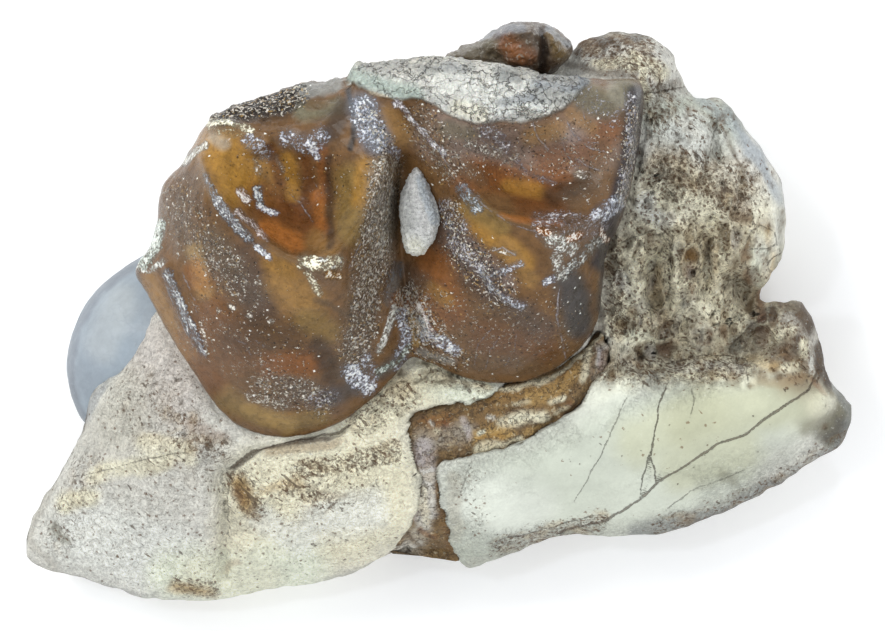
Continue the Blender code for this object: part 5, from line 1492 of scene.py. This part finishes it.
small_lump("stub_crown", "tooth_stub", stub_look, STUB_OUTLINE, (510, 50),
           mapped(STUB_SPOTS, STUB_RELIEF), 7.6, 6.25, 300, (70, 12, 3), 0.9, 4,
           "umber", STUB_STAINS, [(0.12, 14), (0.06, 6)], 201)
small_lump("pebble_lump", "valley_pebble", pebble_look, PLUG_OUTLINE, (419, 213), flat_level(12.7), 11.8,
           10.35, 240, (60, 14, 3), 0.85, 5, "bone_white", PEBBLE_STAINS, [(0.06, 8), (0.06, 3)], 221)
small_lump("nodule_lump", "blue_nodule", nodule_look, NODULE_OUTLINE, (135, 345), mapped(NODULE_SPOTS, []),
           2.6, 0, 320, (80, 36, 3), 0.6, 3, "pale_blue", NODULE_STAINS, [(0.08, 60), (0.02, 16)], 241)

# %% [markdown]
# ## The vein
# Hard brown sediment fills the break across the bone. Its shape is a bent strip, so it is swept:
# a closed section is carried along a path, with its width, and its top follows the bone's surface just below it.

# %% Vein
VEIN_RAILS = [  # one edge and the other, x and y
    ((600, 330), (613, 350)), ((590, 340), (608, 367)), ((574, 350), (594, 388)), ((547, 366), (578, 410)),
    ((519, 371), (555, 430)), ((501, 380), (523, 446)), ((482, 391), (494, 458)), ((459, 395), (468, 464)),
    ((435, 396), (452, 467)), ((402, 411), (444, 468)), ((402, 440), (443, 480)), ((407, 464), (443, 493)),
    ((411, 483), (446, 503)), ((411, 500), (451, 520)), ((405, 518), (455, 540)), ((393, 537), (459, 556)),
    ((386, 553), (459, 562)),
]
VEIN_DROP = 0.07  # millimetres from the bone's surface down to the vein's
VEIN_FLOOR = 3.9
VEIN_STAINS = [
    # upper band, from the bend to the pointed end
    ("brown", 0.6, 22, [(430, 425), (490, 410), (540, 395)]), ("rust", 0.8, 10, [(420, 412), (442, 420)]),
    ("umber", 0.8, 4, [(412, 420), (440, 404), (478, 400)]), ("warm_grey", 0.6, 11, [(424, 440), (448, 436), (466, 430)]),
    ("olive_grey", 0.5, 7, [(506, 399), (522, 392)]), ("tan", 0.8, 8, [(486, 396), (540, 390), (574, 372)]),
    ("ochre", 0.6, 7, [(532, 398), (562, 386)]), ("cream", 0.8, 3, [(550, 400), (563, 395)]),
    ("ochre", 0.5, 4, [(570, 378), (590, 364)]), ("cream", 0.5, 2.5, [(512, 404), (530, 400)]),
    # its paler layers, each with a dark line below
    ("cream", 0.85, 6.5, [(502, 424), (522, 418), (544, 416)]), ("cream_white", 0.4, 2.5, [(508, 421), (536, 416)]),
    ("umber", 0.7, 1.6, [(503, 431), (522, 427), (546, 424)]), ("ochre", 0.9, 6.5, [(474, 437), (492, 434), (508, 435)]),
    ("golden", 0.6, 2.5, [(480, 440), (504, 436)]), ("umber", 0.6, 1.6, [(474, 444), (498, 442), (522, 436)]),
    ("cream", 0.85, 5, [(478, 450), (498, 447), (520, 442)]), ("ochre", 0.6, 4, [(524, 434), (548, 426)]),
    ("cream_white", 0.9, 2.5, [(479, 434), (484, 433)]), ("bone_white", 0.8, 2, [(489, 417), (493, 418)]),
    ("bone_white", 0.8, 1.8, [(428, 421), (431, 423)]), ("cream", 0.6, 2.2, [(434, 429), (439, 431)]),
    ("lilac", 0.5, 4, [(466, 420), (468, 436)]), ("cream", 0.5, 3, [(556, 412), (572, 404)]),
    ("red_brown", 0.8, 4, [(570, 402), (582, 410)]), ("grey_beige", 0.6, 9, [(594, 372), (604, 350)]),
    ("cream", 0.7, 3.5, [(588, 352), (583, 380)]), ("brown", 0.7, 3, [(593, 352), (589, 380)]),
    ("lilac", 0.6, 4, [(600, 350), (600, 368)]), ("rust", 0.5, 4, [(606, 352), (598, 374)]),
    ("cream", 0.85, 2.2, [(488, 387), (520, 387), (551, 379), (583, 355), (601, 330)]),
    ("brown", 0.95, 4, [(450, 466), (480, 458), (520, 446), (558, 424), (584, 402), (596, 386)]),
    # stem down to the lower edge
    ("lilac", 0.7, 10, [(424, 448), (428, 480), (424, 512)]), ("grey_beige", 0.8, 9, [(428, 476), (430, 500), (424, 524)]),
    ("cream", 0.5, 4, [(424, 490), (426, 520)]), ("brown", 0.9, 4, [(441, 478), (443, 510), (451, 545)]),
    ("umber", 0.7, 5, [(410, 440), (414, 470), (418, 490)]), ("warm_grey", 0.8, 12, [(418, 536), (412, 550)]),
    ("pit_brown", 0.7, 6, [(434, 540), (444, 556)]), ("rust", 0.7, 3, [(420, 528), (436, 536)]),
    ("grey_beige", 0.7, 4, [(396, 548), (420, 545)]), ("umber", 0.6, 3, [(404, 530), (426, 552), (448, 556)]),
]

vein_look, tree, shader = new_look("vein_sediment", 0.8)
grain = add_group(tree, GRAIN, Waves=4600.0)
specks = add_group(tree, SPECKS, Waves=6000.0, Density=0.4)
pits = add_group(tree, SPECKS, Waves=4400.0, Density=0.45)
wrinkles = add_group(tree, WRINKLES, Waves=1500.0, Width=0.014)
flakes = add_group(tree, FLAKES, Waves=2300.0, Width=0.05)
colour = shaded(tree, read_value(tree, "stain", "Color"), grain.outputs["Fine"], 0.7, 1.5)
colour = add_mix(tree, add_math(tree, "MULTIPLY", flakes.outputs["Tone"], 0.3), colour, PALETTE["ochre"])
colour = add_mix(tree, add_math(tree, "MULTIPLY", flakes.outputs["Line"], 0.75), colour, PALETTE["umber"])
colour = add_mix(tree, add_math(tree, "MULTIPLY", wrinkles.outputs["Line"], 0.4), colour, PALETTE["brown"])
colour = add_mix(tree, add_math(tree, "MULTIPLY", pits.outputs["Mask"], 0.6), colour, PALETTE["umber"])
colour = add_mix(tree, add_math(tree, "MULTIPLY", specks.outputs["Mask"], 0.3), colour,
                 PALETTE["cream"])
tree.links.new(colour, shader.inputs["Base Color"])
raised = add_math(tree, "MULTIPLY_ADD", wrinkles.outputs["Line"], -0.6, grain.outputs["Fine"])
raised = add_math(tree, "MULTIPLY_ADD", pits.outputs["Mask"], -0.4, raised)
add_bump(tree, shader, raised, 0.0003)


def bone_surface(x, y):
    """The bone's upper surface without its pits: as in lump_grid, from the share of the outline."""
    curve = closed_curve(BONE_OUTLINE, 720) - BONE_CENTRE
    angle = np.arctan2(curve[:, 1], curve[:, 0])
    reach = np.interp(np.arctan2(y - BONE_CENTRE[1], x - BONE_CENTRE[0]), np.sort(angle),
                      np.hypot(curve[:, 0], curve[:, 1])[np.argsort(angle)], period=2 * math.pi)
    share = np.clip(np.hypot(x - BONE_CENTRE[0], y - BONE_CENTRE[1]) / reach, 0, 0.995)
    rim = bone_rim_map(x, y)
    top = bone_top_map(x, y) + relief(x, y, BONE_RELIEF) + relief(x, y, BONE_FINE_RELIEF)
    return rim + (top - rim) * np.sqrt(1 - share**BONE_EDGE)


rails = np.array(VEIN_RAILS, float).reshape(len(VEIN_RAILS), 4)
along = np.linspace(0, len(VEIN_RAILS) - 1, 240)
soften = np.ones(9) / 9
one_x, one_y, other_x, other_y = (
    np.convolve(np.pad(np.interp(along, np.arange(len(rails)), rails[:, axis]), 4, mode="edge"), soften,
                mode="valid")[:, None] for axis in range(4))
turn = np.linspace(0, 2 * math.pi, 120, endpoint=False)[None]
across = 0.5 - 0.5 * np.sign(np.cos(turn)) * np.abs(np.cos(turn)) ** 0.85
x = one_x + (other_x - one_x) * across
y = one_y + (other_y - one_y) * across
x[[0, -1]] = x[[0, -1]].mean(axis=1, keepdims=True)
y[[0, -1]] = y[[0, -1]].mean(axis=1, keepdims=True)
up = np.sin(turn)
crest = bone_surface(x, y) - VEIN_DROP
z = np.where(up > 0, VEIN_FLOOR + np.maximum(crest - VEIN_FLOOR, 0.1) * np.abs(up) ** 0.12, VEIN_FLOOR + 0 * x)
z[[0, -1]] = z[[1, -2]].mean(axis=1, keepdims=True)
level = z * MM / PIXEL
points = row_point(x, y, z)
rough = 0.13 * layered_noise(x, y, level, 18, 301) + 0.1 * layered_noise(x, y, level, 7, 311, 2)
points += grid_normals(points) * np.where(up > 0, rough, 0)[..., None] * MM
lump_mesh("vein_sediment_body", points, vein_look, "sediment_vein",
          {"stain": painted(x, y, level, "pit_brown", VEIN_STAINS, 321, 4.0)})

# %% [markdown]
# ## The size
# The dressed pieces are clipped to the solids' box as their meshes are made, and the solids' size is printed.

# %% Sizes
print("solids:", [round(value / MM, 2) for value in solid_box[1] - solid_box[0]], "mm")
